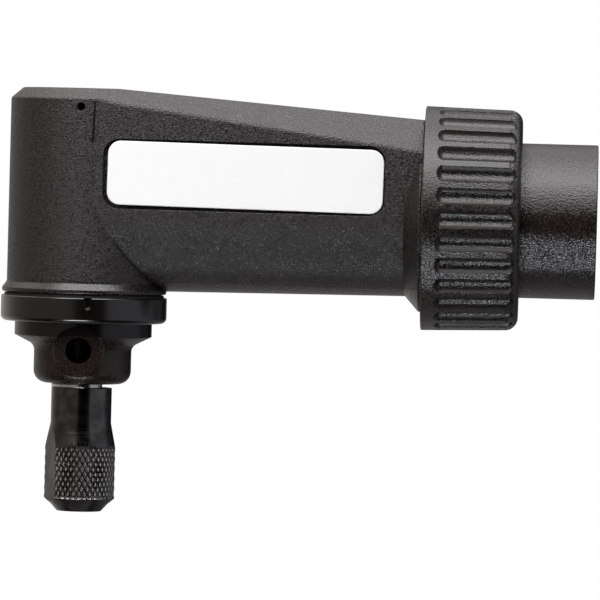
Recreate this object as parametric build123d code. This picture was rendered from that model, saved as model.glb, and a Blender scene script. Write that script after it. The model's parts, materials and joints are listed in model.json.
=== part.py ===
from build123d import *
import os
from math import acos, cos, pi, radians, sin, sqrt, tan

# Right angle attachment for a rotary tool. Millimetres.
# The origin is the centre of the sleeve's mouth. +X leaves the mouth towards the tool, +Z is up,
# and the output spindle points down. Lengths along the barrel named *_x count from the output axis
# towards the tool, and heights named *_z count from the input axis.

# Main places
head_to_mouth = 72.2
sleeve_reach = 10.6
ring_length = 14.1
ring_to_collar = 0.3

# Clearances
seat_gap = 0.01
running_gap = 0.03
turning_gap = 0.10
end_gap = 0.10
free_gap = 0.30
thread_gap = 0.06

# Small roundings, and how far a cutting shape reaches past what it cuts
edge_round = 0.2
fine_edge_round = 0.1
overshoot = 2.0

# Head of the housing
head_radius = 11.0
head_top_z = 17.0
head_bevel = 1.8
head_bevel_round = 0.4
foot_radius = 11.65
foot_z = -12.05
foot_rim = 0.45
foot_flare = 0.9

# Barrel of the housing: an oval belly under flat sides, with bevelled shoulders and a sloping roof
barrel_half_width = 10.82
belly_depth_at_head = 11.5
belly_depth_at_end = 11.1
roof_z_at_head = 17.37
roof_z_at_end = 13.79
shoulder_z_at_head = 15.43
shoulder_z_at_end = 9.30
collar_step = 0.4
cone_slope = 1.0
cone_sink = 0.3

# Bare plate in its recess on the barrel's near side
plate_width = 38.6
plate_height = 8.95
plate_corner = 1.8
plate_thickness = 0.5
plate_middle_x = 23.0
plate_middle_z = 5.1
plate_tilt = 0.6
plate_margin = 0.3

# Small hole near the top of the head
oil_hole_radius = 0.52

# Ring that clamps the head to the sleeve
ring_wall = 2.55
ring_taper = 0.35
ring_corner = 1.5
ring_lip = 2.6
flange_clearance = 0.4
groove_count = 30
groove_width = 2.35
groove_depth = 0.9
groove_inset = 2.2
groove_length = 10.9

# Sleeve that screws on the tool's nose, a 3/4-12 thread drawn at its minor radius
sleeve_radius = 10.92
mouth_bevel = 0.15
tool_thread_radius = 8.38
tool_thread_length = 9.5
sleeve_bore_radius = 8.2
pilot_step = 1.02
pilot_length = 5.7
flange_height = 1.98
flange_thickness = 2.4
washer_thickness = 0.5

# Twelve index teeth on the sleeve's flange and on the end of the housing
index_count = 12
index_height = 0.6
index_release = 0.25
index_inner_step = 0.6
index_outer_step = 0.1
index_root_width = 2.6
index_tip_width = 1.8

# Bevel pair, apex where the two axes cross
tooth_count = 16
tooth_module = 0.75
tooth_face = 3.0
tooth_root = 1.25
flank_shares = (0, 0.2, 0.45, 0.72, 1)
pressure_angle = 20.0
tooth_backlash = 0.09
tooth_sink = 0.15
gear_web = 1.5
gear_hub_radius = 4.4
gear_hub_length = 3.0
pinion_hub_radius = 3.7
pinion_hub_length = 4.0
gear_pin_radius = 0.6
gear_pin_inset = 0.1

# Drive shaft
shaft_radius = 3.0
shaft_to_spindle = 1.4
shaft_bevel = 0.2
pinion_seat_step = 0.8
shaft_shoulder = 0.9
rear_bush_set_back = 4.0
rear_bush_length = 7.0
drive_square = 4.0
drive_square_length = 13.0
drive_set_back = 2.5
drive_square_bevel = 0.5

# Ball bearings, each with its bore, outside, width and balls
front_bearing_outer = 7.5
front_bearing_width = 5.0
front_ball_radius = 1.2
lower_bearing_bore = 3.5
lower_bearing_outer = 8.5
lower_bearing_width = 5.0
lower_ball_radius = 1.25
ball_count = 7
ball_room = 0.06
race_shoulder = 0.75
shield_thickness = 0.25
shield_step = 0.35
cage_wall = 0.4
cage_base = 0.3
cage_finger = 0.5

# Rings that hold the bearings
spacer_wall = 1.0
circlip_thickness = 1.0
circlip_groove_depth = 0.5
circlip_reach = 0.9
circlip_mouth = 50.0
shaft_clip_depth = 0.4
shaft_clip_thickness = 0.45

# Upper bush, its washer and the room over it
upper_bush_wall = 2.0
upper_bush_length = 4.4
upper_bush_flange = 1.0
upper_bush_flange_wall = 1.8
upper_bush_ledge = 0.5
gear_washer_thickness = 0.5
roof_room = 1.0
gear_room = 0.87

# Bearing cap under the head
gasket_thickness = 0.3
gasket_inset = 0.35
cap_radius = 11.75
cap_flange = 3.65
cap_corner = 0.4
cap_step_radius = 9.72
cap_step = 1.95
cap_thread_wall = 0.9
cap_thread_length = 2.95
cap_fillet = 1.6
neck_radius = 6.83
cap_height = 12.35
neck_corner = 1.8
neck_length = 4.4
neck_bore_radius = 5.3
lip_thickness = 1.0
lip_gap = 0.33
lower_spacer_length = 2.0
relief_depth = 0.3
relief_radius = 7.2
pin_hole_rise = 4.8
lock_pin_radius = 1.6
pin_hole_gap = 0.24
cross_hole_gap = 0.05
pin_boss_wall = 1.91
pin_boss_proud = 0.87
pin_boss_bevel = 0.35
notch_width = 1.2
notch_height = 1.7
notch_depth = 1.0
notch_turn = 9.3

# Output spindle
spindle_radius = 2.5
spindle_collar_gap = 0.5
spindle_thread_radius = 3.57
spindle_reach = 14.5
spindle_bevel = 0.3
spindle_top_drop = 0.2
spindle_shoulder = 1.2
spindle_thread_bevel = 0.4
spindle_bore_radius = 2.25
spindle_bore_depth = 16.6
spindle_mouth_depth = 1.6
spindle_mouth_flare = 0.5
cross_hole_turn = 50.0
clip_groove = 0.67
clip_radius = 4.3
clip_thickness = 0.45
clip_cut = 1.5

# Collet and its nut
collet_grip_radius = 1.6
collet_depth = 12.4
collet_head_lip = 0.2
collet_nose_radius = 2.2
collet_slot = 0.35
collet_slot_length = 11.0
collet_gap = 0.05
nut_to_cap = 0.6
nut_length = 17.5
nut_wall = 0.655
nut_neck_length = 5.0
nut_cone_length = 3.55
nut_radius = 4.95
nut_bevel = 2.0
nut_bevel_drop = 1.8
nut_flats = 9.0
nut_flats_turn = 64.0
nut_face_lip = 0.05
nut_cone_drop = 1.55
nut_relief = 0.6

# Sizes and places worked out from the values above, in the frame of the part
pilot_radius = sleeve_radius - pilot_step
flange_radius = sleeve_radius + flange_height
index_inner_radius = pilot_radius + index_inner_step
index_outer_radius = flange_radius - index_outer_step
ring_thread_radius = flange_radius + flange_clearance
housing_thread_radius = ring_thread_radius - turning_gap
collar_radius = housing_thread_radius + collar_step
ring_radius = ring_thread_radius + ring_wall
ring_end_radius = ring_radius - ring_taper

pitch_radius = tooth_count * tooth_module / 2
cone_distance = pitch_radius * sqrt(2)
tip_radius = pitch_radius + tooth_module / sqrt(2)
chamber_radius = tip_radius + gear_room
gear_hub_z = pitch_radius + gear_hub_length
front_bearing_x = pitch_radius + pinion_hub_length
pinion_seat_radius = shaft_radius - pinion_seat_step
shaft_middle_radius = shaft_radius + shaft_shoulder

head_x = -head_to_mouth
ring_end_x = -sleeve_reach
ring_start_x = ring_end_x - ring_length
collar_end_x = ring_start_x - ring_to_collar
washer_end_x = ring_end_x - ring_lip
washer_start_x = washer_end_x - washer_thickness
flange_end_x = washer_start_x - end_gap
flange_start_x = flange_end_x - flange_thickness
sleeve_teeth_x = flange_start_x - index_height
housing_teeth_x = sleeve_teeth_x - index_release
housing_end_x = housing_teeth_x - index_height
pilot_start_x = sleeve_teeth_x - pilot_length
recess_start_x = pilot_start_x - free_gap
drive_end_x = -tool_thread_length - drive_set_back
bush_start_x = collar_end_x - rear_bush_set_back - rear_bush_length
bush_end_x = bush_start_x + rear_bush_length
bearing_start_x = head_x + front_bearing_x
bearing_end_x = bearing_start_x + front_bearing_width
square_start_x = drive_end_x - drive_square_length

gear_washer_z = gear_hub_z + gear_washer_thickness
upper_bush_z = gear_washer_z + end_gap
chamber_top_z = upper_bush_z + upper_bush_flange
upper_bush_radius = spindle_radius + upper_bush_wall
upper_bush_top_z = upper_bush_z + upper_bush_length
pocket_top_z = upper_bush_top_z + roof_room
oil_hole_z = upper_bush_top_z + roof_room / 2

cap_thread_radius = lower_bearing_outer + cap_thread_wall
cap_top_z = foot_z - gasket_thickness
neck_end_z = cap_top_z - cap_height
neck_top_z = neck_end_z + neck_length
pin_hole_z = neck_end_z + pin_hole_rise
pin_hole_radius = lock_pin_radius + pin_hole_gap
cross_hole_radius = lock_pin_radius + cross_hole_gap
pin_boss_radius = pin_hole_radius + pin_boss_wall
pin_boss_reach = neck_radius + pin_boss_proud
cap_step_z = cap_top_z - cap_flange
cap_step_end_z = cap_step_z - cap_step
cap_spigot_z = cap_top_z + cap_thread_length
ledge_z = cap_spigot_z + end_gap
lower_bearing_z = cap_spigot_z - lower_spacer_length
lower_bearing_end_z = lower_bearing_z - lower_bearing_width
lip_z = neck_end_z + lip_thickness
lip_bore_radius = spindle_thread_radius + lip_gap
spindle_collar_radius = neck_bore_radius - spindle_collar_gap
clip_neck_radius = spindle_thread_radius - clip_groove
collar_end_z = lip_z + end_gap
clip_z = neck_end_z - end_gap

spindle_end_z = neck_end_z - spindle_reach
spindle_bore_top_z = spindle_end_z + spindle_bore_depth
spindle_mouth_radius = spindle_bore_radius + spindle_mouth_flare
collet_radius = spindle_bore_radius - collet_gap
collet_top_z = spindle_end_z + collet_depth
collet_head_radius = spindle_mouth_radius + collet_head_lip
nut_bore_radius = spindle_thread_radius + thread_gap
nut_neck_radius = nut_bore_radius + nut_wall
nut_face_hole = collet_nose_radius - nut_face_lip
nut_top_z = neck_end_z - nut_to_cap
nut_end_z = nut_top_z - nut_length
nut_floor_z = spindle_end_z - free_gap
nut_cone_z = nut_floor_z - nut_relief
cone_share = (collet_head_radius - collet_nose_radius) / (collet_head_radius + collet_gap - nut_face_hole)
collet_cone_drop = nut_cone_drop * cone_share
barrel_axis = Axis.X
head_axis = Axis((head_x, 0, 0), (0, 0, 1))


def turned_upright(*corners):
    """A solid turned about the output axis from corners of (radius, height, rounding)."""
    points = [(head_x + corner[0], 0, corner[1]) for corner in corners]
    return turned(points, corners, head_axis)


def turned_level(*corners):
    """A solid turned about the input axis from corners of (x, radius, rounding)."""
    points = [(corner[0], 0, corner[1]) for corner in corners]
    return turned(points, corners, barrel_axis)


def turned(points, corners, axis):
    rounding = [corner[2] if len(corner) > 2 else 0 for corner in corners]
    return Part() + revolve(make_face(rounded_outline(points, rounding)), axis)


def rounded_outline(points, rounding):
    """Closed outline of straight lines, with an arc of its own radius at each rounded corner."""
    corners = [Vector(*point) for point in points]
    ends, edges = [], []
    for i, corner in enumerate(corners):
        back = (corners[i - 1] - corner).normalized()
        onward = (corners[(i + 1) % len(corners)] - corner).normalized()
        half = radians(back.get_angle(onward)) / 2
        reach = rounding[i] / tan(half)
        start, end = corner + back * reach, corner + onward * reach
        ends.append((start, end))
        if rounding[i]:
            bisector = (back + onward).normalized()
            middle = corner + bisector * (rounding[i] / sin(half) - rounding[i])
            edges.append(Edge.make_three_point_arc(start, middle, end))
    for i in range(len(corners)):
        start, end = ends[i - 1][1], ends[i][0]
        if (end - start).length > 1e-6:
            edges.append(Edge.make_line(start, end))
    return edges


def rod(start, direction, radius, length):
    """A round bar from a start point along a direction."""
    return extrude(Plane(start, z_dir=direction) * Circle(radius), length)


def tube_level(start_x, end_x, inner, outer):
    return turned_level((start_x, inner), (end_x, inner), (end_x, outer), (start_x, outer))


def tube_upright(low_z, high_z, inner, outer):
    return turned_upright((inner, low_z), (outer, low_z), (outer, high_z), (inner, high_z))


def solid_between(first, second):
    """A solid with flat faces between two polygons that have as many corners."""
    count = len(first)
    faces = [Face(Wire.make_polygon(first)), Face(Wire.make_polygon(second))]
    for i in range(count):
        j = (i + 1) % count
        faces.append(Face(Wire.make_polygon([first[i], first[j], second[j], second[i]])))
    made = Solid(Shell(faces))
    return made if made.volume > 0 else Solid(made.wrapped.Reversed())


# Housing


def barrel_body():
    """The barrel: a slightly tapered oval belly, and a block above it."""
    sections = [
        belly_section(head_x, belly_depth_at_head),
        belly_section(collar_end_x, belly_depth_at_end),
    ]
    belly = loft(sections, ruled=True)
    block = solid_between(
        shoulder_section(head_x, shoulder_z_at_head, roof_z_at_head),
        shoulder_section(collar_end_x, shoulder_z_at_end, roof_z_at_end),
    )
    return belly + block


def belly_section(x, depth):
    """Lower half of the barrel's section: half an oval that runs on from the flat sides."""
    side = barrel_half_width
    lines = [
        EllipticalCenterArc((0, 0), side, depth, start_angle=180, arc_size=180),
        Line((side, 0), (-side, 0)),
    ]
    return Plane((x, 0, 0), x_dir=(0, 1, 0), z_dir=(1, 0, 0)) * make_face(lines)


def shoulder_section(x, shoulder_z, roof_z):
    """Upper half of the barrel's section: straight sides, 45 degree shoulders and a flat roof."""
    side = barrel_half_width
    roof = side - (roof_z - shoulder_z)
    half = [(side, 0), (side, shoulder_z), (roof, roof_z)]
    mirrored = [(-y, z) for y, z in reversed(half)]
    return [(x, y, z) for y, z in half + mirrored]


def head_body():
    flare_z = foot_z + foot_rim
    return turned_upright(
        (0, foot_z),
        (foot_radius, foot_z, fine_edge_round),
        (foot_radius, flare_z, edge_round),
        (head_radius, flare_z + foot_flare),
        (head_radius, head_top_z - head_bevel, head_bevel_round),
        (head_radius - head_bevel, head_top_z, head_bevel_round),
        (0, head_top_z),
    )


def housing_end():
    """Cone that flares to the collar, then the stub that carries the ring's thread."""
    cone_foot_radius = barrel_half_width - cone_sink
    cone_start_x = collar_end_x - (collar_radius - cone_foot_radius) * cone_slope
    return turned_level(
        (cone_start_x, 0),
        (cone_start_x, cone_foot_radius),
        (collar_end_x, collar_radius, edge_round),
        (collar_end_x, housing_thread_radius),
        (housing_end_x, housing_thread_radius),
        (housing_end_x, 0),
    )


def index_teeth(root_x, direction, first_turn):
    """Twelve radial teeth with sloping sides that stand on a face at root_x, towards +X or -X."""
    base_x = root_x - direction * tooth_sink
    tip_x = root_x + direction * index_height
    root, tip = index_root_width / 2, index_tip_width / 2
    section = [(base_x, -root), (tip_x, -tip), (tip_x, tip), (base_x, root)]
    tooth = solid_between(
        [(x, y, index_inner_radius) for x, y in section],
        [(x, y, index_outer_radius) for x, y in section],
    )
    pitch = 360 / index_count
    return [tooth.rotate(barrel_axis, first_turn + pitch * i) for i in range(index_count)]


def plate_place(depth):
    """Plane of the bare plate, at a depth below the barrel's side, with its own slight tilt."""
    middle = (head_x + plate_middle_x, -barrel_half_width + depth, plate_middle_z)
    tilt = radians(plate_tilt)
    return Plane(middle, x_dir=(cos(tilt), 0, -sin(tilt)), z_dir=(0, -1, 0))


def plate_solid(margin, depth, thickness):
    """Rounded rectangle, its back at a depth below the barrel's side."""
    outline = RectangleRounded(
        plate_width + 2 * margin, plate_height + 2 * margin, plate_corner + margin
    )
    return extrude(plate_place(depth) * outline, thickness)


def housing():
    above_head = Pos(head_x, 0, head_top_z + overshoot) * Box(
        4 * head_radius, 4 * head_radius, 2 * overshoot
    )
    body = head_body() + (barrel_body() - above_head) + housing_end()
    body += index_teeth(housing_end_x, 1, 0)
    body -= plate_solid(plate_margin, plate_thickness, plate_thickness + overshoot)
    # Gear chamber, upper bush pocket and the open foot that takes the cap's thread
    body -= turned_upright(
        (0, foot_z - overshoot),
        (cap_thread_radius + turning_gap, foot_z - overshoot),
        (cap_thread_radius + turning_gap, ledge_z),
        (chamber_radius, ledge_z),
        (chamber_radius, chamber_top_z),
        (upper_bush_radius + seat_gap, chamber_top_z),
        (upper_bush_radius + seat_gap, upper_bush_top_z),
        (upper_bush_radius - upper_bush_ledge, upper_bush_top_z),
        (upper_bush_radius - upper_bush_ledge, pocket_top_z),
        (0, pocket_top_z),
    )
    # Stepped bore for the pinion, the shaft's bearing and bush, and the sleeve's pilot
    bore = front_bearing_outer + seat_gap
    groove = bore + circlip_groove_depth
    body -= turned_level(
        (head_x, 0),
        (head_x, tip_radius + free_gap),
        (bearing_start_x, tip_radius + free_gap),
        (bearing_start_x, bore),
        (bush_end_x, bore),
        (bush_end_x, groove),
        (bush_end_x + circlip_thickness, groove),
        (bush_end_x + circlip_thickness, bore),
        (recess_start_x, bore),
        (recess_start_x, pilot_radius + turning_gap / 2),
        (housing_end_x + overshoot, pilot_radius + turning_gap / 2),
        (housing_end_x + overshoot, 0),
    )
    oil_hole_start = (head_x, 0, oil_hole_z)
    body -= rod(oil_hole_start, (0, -1, 0), oil_hole_radius, head_radius + overshoot)
    return body


def name_plate():
    return plate_solid(0, plate_thickness, plate_thickness)


# Bearing cap and its gasket


def bearing_cap():
    body = turned_upright(
        (0, neck_end_z),
        (neck_radius, neck_end_z, neck_corner),
        (neck_radius, neck_top_z, cap_fillet),
        (cap_step_radius, cap_step_end_z),
        (cap_step_radius, cap_step_z),
        (cap_radius, cap_step_z, cap_corner),
        (cap_radius, cap_top_z, edge_round),
        (cap_thread_radius, cap_top_z),
        (cap_thread_radius, cap_spigot_z),
        (0, cap_spigot_z),
    )
    hole_place = (head_x, 0, pin_hole_z)
    boss = rod(hole_place, (0, -1, 0), pin_boss_radius, pin_boss_reach)
    body += chamfer(boss.edges().filter_by(GeomType.CIRCLE).sort_by(Axis.Y)[0], pin_boss_bevel)
    pocket = lower_bearing_outer + seat_gap
    relief_z = lower_bearing_end_z - relief_depth
    body -= turned_upright(
        (0, neck_end_z - overshoot),
        (lip_bore_radius, neck_end_z - overshoot),
        (lip_bore_radius, lip_z),
        (neck_bore_radius, lip_z),
        (neck_bore_radius, relief_z),
        (relief_radius, relief_z),
        (relief_radius, lower_bearing_end_z),
        (pocket, lower_bearing_end_z),
        (pocket, cap_spigot_z + overshoot),
        (0, cap_spigot_z + overshoot),
    )
    face_place = (head_x, -pin_boss_reach, pin_hole_z)
    body -= rod(face_place, (0, -1, 0), pin_boss_radius - pin_boss_bevel, cap_radius)
    body -= rod(hole_place, (0, -1, 0), pin_hole_radius, pin_boss_reach)
    for turn in (notch_turn, notch_turn + 180):
        body -= spanner_notch().rotate(head_axis, turn)
    return body


def spanner_notch():
    """Round-ended notch that comes down from the flange's upper edge."""
    half = notch_width / 2
    middle_z = cap_top_z - notch_height + half
    back = -cap_radius + notch_depth
    place = Pos(head_x, back - overshoot / 2, middle_z + notch_height / 2)
    slot = place * Box(notch_width, overshoot, notch_height)
    return slot + rod((head_x, back, middle_z), (0, -1, 0), half, overshoot)


def cap_gasket():
    inner = cap_thread_radius + turning_gap
    return tube_upright(cap_top_z, foot_z, inner, foot_radius - gasket_inset)


# Ring, washer and sleeve


def coupling_ring():
    body = turned_level(
        (ring_start_x, ring_thread_radius),
        (ring_start_x, ring_radius, edge_round),
        (ring_end_x, ring_end_radius, ring_corner),
        (ring_end_x, sleeve_radius + turning_gap),
        (washer_end_x, sleeve_radius + turning_gap),
        (washer_end_x, ring_thread_radius),
    )
    cutter = grip_groove()
    pitch = 360 / groove_count
    return body - [cutter.rotate(barrel_axis, pitch * i) for i in range(groove_count)]


def grip_groove():
    """One groove with round ends, its bottom an arc across the ring's skin."""
    arc_radius = (groove_width**2 / 4 + groove_depth**2) / (2 * groove_depth)
    middle_radius = (ring_radius + ring_end_radius) / 2 + arc_radius - groove_depth
    start_x = ring_start_x + groove_inset + arc_radius
    end_x = ring_start_x + groove_inset + groove_length - arc_radius
    points = [
        (start_x - arc_radius, 0, -middle_radius),
        (start_x - arc_radius, 0, arc_radius - middle_radius),
        (end_x + arc_radius, 0, arc_radius - middle_radius),
        (end_x + arc_radius, 0, -middle_radius),
    ]
    outline = rounded_outline(points, [0, arc_radius, arc_radius, 0])
    return revolve(make_face(outline), Axis((0, 0, -middle_radius), (1, 0, 0)))


def thrust_washer():
    return tube_level(washer_start_x, washer_end_x, sleeve_radius + turning_gap, flange_radius)


def tool_sleeve():
    body = turned_level(
        (0, tool_thread_radius),
        (0, sleeve_radius - mouth_bevel),
        (-mouth_bevel, sleeve_radius),
        (flange_end_x, sleeve_radius),
        (flange_end_x, flange_radius),
        (flange_start_x, flange_radius),
        (flange_start_x, pilot_radius),
        (pilot_start_x, pilot_radius),
        (pilot_start_x, sleeve_bore_radius),
        (-tool_thread_length, sleeve_bore_radius),
        (-tool_thread_length, tool_thread_radius),
    )
    half_pitch = 180 / index_count
    return body + index_teeth(flange_start_x, -1, half_pitch)


# Bevel pair


def tooth_section(scale):
    """Section of one tooth square to the pitch cone, drawn as on the equivalent spur gear.

    The apex is the origin, the gear's axis is +Z and the tooth lies towards +X.
    """
    spur_radius = pitch_radius * sqrt(2)
    base_radius = spur_radius * cos(radians(pressure_angle))
    root = spur_radius - tooth_root * tooth_module
    tip = spur_radius + tooth_module
    steps = [base_radius + (tip - base_radius) * share for share in flank_shares]
    half_pitch_angle = pi * tooth_module / (4 * spur_radius) - tooth_backlash / (2 * spur_radius)
    flank = [(half_tooth_angle(r, base_radius, spur_radius, half_pitch_angle), r) for r in steps]
    flank.insert(0, (flank[0][0], root - tooth_sink))
    side = [(r * sin(angle), r * cos(angle) - spur_radius) for angle, r in flank]
    outline = side + [(-across, up) for across, up in reversed(side)]
    lean = 1 / sqrt(2)
    return [
        (scale * (pitch_radius + up * lean), scale * across, scale * (pitch_radius - up * lean))
        for across, up in outline
    ]


def half_tooth_angle(radius, base_radius, spur_radius, half_pitch_angle):
    """Half the angle that a tooth takes at a radius of the equivalent spur gear."""
    at_pitch = acos(base_radius / spur_radius)
    at_radius = acos(min(1, base_radius / radius))
    involute = (tan(at_pitch) - at_pitch) - (tan(at_radius) - at_radius)
    return half_pitch_angle + involute


def bevel_gear(bore_radius, hub_radius, hub_height, first_tooth):
    """A bevel gear on +Z with its apex at the origin."""
    inner = (cone_distance - tooth_face) / cone_distance
    drop = tooth_root * tooth_module / sqrt(2)
    root = (pitch_radius - drop, pitch_radius + drop)
    back = (root[0] - gear_web / sqrt(2), root[1] + gear_web / sqrt(2))
    corners = [
        (bore_radius, 0, inner * root[1]),
        (inner * root[0], 0, inner * root[1]),
        (root[0], 0, root[1]),
        (back[0], 0, back[1]),
        (hub_radius, 0, back[1]),
        (hub_radius, 0, hub_height),
        (bore_radius, 0, hub_height),
    ]
    blank = revolve(make_face(Polyline(corners, close=True)), Axis.Z)
    tooth = solid_between(tooth_section(inner), tooth_section(1))
    pitch = 360 / tooth_count
    teeth = [tooth.rotate(Axis.Z, pitch * (i + first_tooth)) for i in range(tooth_count)]
    return Part() + blank + teeth


def output_gear():
    gear = Pos(head_x, 0, 0) * bevel_gear(spindle_radius + seat_gap, gear_hub_radius, gear_hub_z, 0.5)
    return gear - gear_pin_hole()


def drive_pinion():
    gear = bevel_gear(pinion_seat_radius + seat_gap, pinion_hub_radius, front_bearing_x, 0)
    return level_place(head_x) * gear


def level_place(x):
    """Place that turns a piece drawn on +Z to lie along +X from a point of the input axis."""
    return Plane((x, 0, 0), x_dir=(0, 0, 1), z_dir=(1, 0, 0)).location


def gear_pin_height():
    return (pitch_radius + gear_web + gear_hub_z) / 2


def gear_pin_hole():
    start = (head_x - gear_hub_radius - overshoot, 0, gear_pin_height())
    return rod(start, (1, 0, 0), gear_pin_radius, 2 * (gear_hub_radius + overshoot))


def gear_pin():
    half = gear_hub_radius - gear_pin_inset
    start = (head_x - half, 0, gear_pin_height())
    return rod(start, (1, 0, 0), gear_pin_radius - seat_gap, 2 * half)


# Ball bearings, drawn on +Z with the middle of their width at the origin


def race_radii(bore_radius, outer_radius):
    middle = (bore_radius + outer_radius) / 2
    return middle, middle - race_shoulder, middle + race_shoulder


def bearing_ring(wall_radius, shoulder_radius, track_radius, width, ball_radius):
    """One ring: a plain wall on one side and a round ball track on the other."""
    half = width / 2
    arc = ball_radius + ball_room
    reach = sqrt(arc**2 - (track_radius - shoulder_radius) ** 2)
    outward = 1 if wall_radius > shoulder_radius else -1
    deepest = track_radius + outward * arc
    wall = Polyline(
        (shoulder_radius, 0, reach),
        (shoulder_radius, 0, half),
        (wall_radius, 0, half),
        (wall_radius, 0, -half),
        (shoulder_radius, 0, -half),
        (shoulder_radius, 0, -reach),
    )
    track = ThreePointArc((shoulder_radius, 0, -reach), (deepest, 0, 0), (shoulder_radius, 0, reach))
    return Part() + revolve(make_face([wall, track]), Axis.Z)


def bearing_outer_ring(bore_radius, outer_radius, width, ball_radius):
    middle, _, shoulder = race_radii(bore_radius, outer_radius)
    ring = bearing_ring(outer_radius, shoulder, middle, width, ball_radius)
    step = shield_step + shield_thickness / 2
    for side in (1, -1):
        ring -= Pos(0, 0, side * width / 2) * Cylinder(shoulder + shield_step, 2 * step)
    return ring


def bearing_inner_ring(bore_radius, outer_radius, width, ball_radius):
    middle, shoulder, _ = race_radii(bore_radius, outer_radius)
    return bearing_ring(bore_radius, shoulder, middle, width, ball_radius)


def bearing_shields(bore_radius, outer_radius, width):
    _, inner, shoulder = race_radii(bore_radius, outer_radius)
    step = shield_step + shield_thickness / 2
    shields = []
    for side in (1, -1):
        middle_z = side * (width / 2 - step + shield_thickness / 2)
        disc = Cylinder(shoulder + shield_step - seat_gap, shield_thickness)
        hole = Cylinder(inner + turning_gap, 2 * shield_thickness)
        shields.append(Pos(0, 0, middle_z) * (disc - hole))
    return shields


def bearing_balls(bore_radius, outer_radius, ball_radius):
    middle = (bore_radius + outer_radius) / 2
    ball = Pos(middle, 0, 0) * Sphere(ball_radius)
    return [ball.rotate(Axis.Z, 360 / ball_count * i) for i in range(ball_count)]


def bearing_cage(bore_radius, outer_radius, ball_radius):
    """Crown cage: a flat ring on one side with fingers between the balls."""
    middle = (bore_radius + outer_radius) / 2
    low = -ball_radius - 2 * cage_base
    high = ball_radius * cage_finger
    height = high - low
    ring = Cylinder(middle + cage_wall, height) - Cylinder(middle - cage_wall, 2 * height)
    cage = Pos(0, 0, (high + low) / 2) * ring
    pocket = rod((0, 0, 0), (1, 0, 0), ball_radius + ball_room, outer_radius)
    return cage - [pocket.rotate(Axis.Z, 360 / ball_count * i) for i in range(ball_count)]


def bearing(name, place, bore_radius, outer_radius, width, ball_radius):
    """All the pieces of one ball bearing, by name. The shields and the balls are groups."""
    size = (bore_radius + seat_gap, outer_radius)
    made = {
        "outer_ring": bearing_outer_ring(*size, width, ball_radius),
        "inner_ring": bearing_inner_ring(*size, width, ball_radius),
        "shields": bearing_shields(*size, width),
        "balls": bearing_balls(*size, ball_radius),
        "cage": bearing_cage(*size, ball_radius),
    }
    return {f"{name}_bearing_{piece}": placed(place, solid) for piece, solid in made.items()}


def placed(place, piece):
    return [place * solid for solid in piece] if isinstance(piece, list) else place * piece


# Shafts


def drive_shaft():
    groove = shaft_radius - shaft_clip_depth
    start_x = head_x + spindle_radius + shaft_to_spindle
    clip_x = bush_end_x + end_gap
    body = turned_level(
        (start_x, 0),
        (start_x, pinion_seat_radius - shaft_bevel),
        (start_x + shaft_bevel, pinion_seat_radius),
        (bearing_start_x, pinion_seat_radius),
        (bearing_start_x, shaft_radius),
        (bearing_end_x, shaft_radius),
        (bearing_end_x, shaft_middle_radius),
        (bush_start_x - end_gap, shaft_middle_radius),
        (bush_start_x - end_gap, shaft_radius),
        (clip_x, shaft_radius),
        (clip_x, groove),
        (clip_x + shaft_clip_thickness, groove),
        (clip_x + shaft_clip_thickness, shaft_radius),
        (square_start_x, shaft_radius),
        (square_start_x, 0),
    )
    root_x = square_start_x - overshoot
    section = Plane.YZ.offset(root_x) * Rectangle(drive_square, drive_square)
    square = extrude(section, drive_end_x - root_x)
    point = turned_level(
        (root_x, 0),
        (root_x, shaft_radius),
        (drive_end_x - drive_square_bevel, shaft_radius),
        (drive_end_x, drive_square / 2),
        (drive_end_x, 0),
    )
    return body + (square & point)


def output_spindle():
    shoulder_z = lower_bearing_z + spindle_shoulder
    groove = lower_bearing_bore - shaft_clip_depth
    clip_low_z = clip_z - clip_thickness
    top_z = upper_bush_top_z - spindle_top_drop
    body = turned_upright(
        (0, spindle_end_z),
        (spindle_thread_radius - spindle_thread_bevel, spindle_end_z),
        (spindle_thread_radius, spindle_end_z + spindle_thread_bevel),
        (spindle_thread_radius, clip_low_z),
        (clip_neck_radius, clip_low_z),
        (clip_neck_radius, clip_z),
        (spindle_thread_radius, clip_z),
        (spindle_thread_radius, collar_end_z),
        (spindle_collar_radius, collar_end_z),
        (spindle_collar_radius, lower_bearing_end_z),
        (lower_bearing_bore, lower_bearing_end_z),
        (lower_bearing_bore, lower_bearing_z),
        (groove, lower_bearing_z),
        (groove, lower_bearing_z + shaft_clip_thickness),
        (lower_bearing_bore, lower_bearing_z + shaft_clip_thickness),
        (lower_bearing_bore, shoulder_z),
        (spindle_radius, shoulder_z),
        (spindle_radius, top_z - spindle_bevel),
        (spindle_radius - spindle_bevel, top_z),
        (0, top_z),
    )
    body -= turned_upright(
        (0, spindle_end_z - overshoot),
        (spindle_mouth_radius, spindle_end_z - overshoot),
        (spindle_mouth_radius, spindle_end_z),
        (spindle_bore_radius, spindle_end_z + spindle_mouth_depth),
        (spindle_bore_radius, spindle_bore_top_z),
        (0, spindle_bore_top_z + spindle_bore_radius / 2),
    )
    start = (head_x, 2 * spindle_collar_radius, pin_hole_z)
    cross = rod(start, (0, -1, 0), cross_hole_radius, 4 * spindle_collar_radius)
    return body - cross.rotate(head_axis, cross_hole_turn) - gear_pin_hole()


def open_clip(inner_radius, outer_radius, thickness, mouth):
    """Flat clip on +Z, thinner towards its mouth, which opens towards +X."""
    ring = Cylinder(outer_radius, thickness) - Cylinder(inner_radius, 2 * thickness)
    reach = 2 * outer_radius
    side = reach * tan(radians(mouth / 2))
    wedge = Polyline((0, 0), (reach, side), (reach, -side), close=True)
    return ring - Pos(0, 0, -thickness) * extrude(make_face(wedge), 2 * thickness)


def shaft_clip(radius):
    """Clip that snaps on a shaft of this radius."""
    inner = radius - shaft_clip_depth + seat_gap
    thickness = shaft_clip_thickness - 2 * seat_gap
    return open_clip(inner, radius + circlip_reach, thickness, circlip_mouth)


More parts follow.
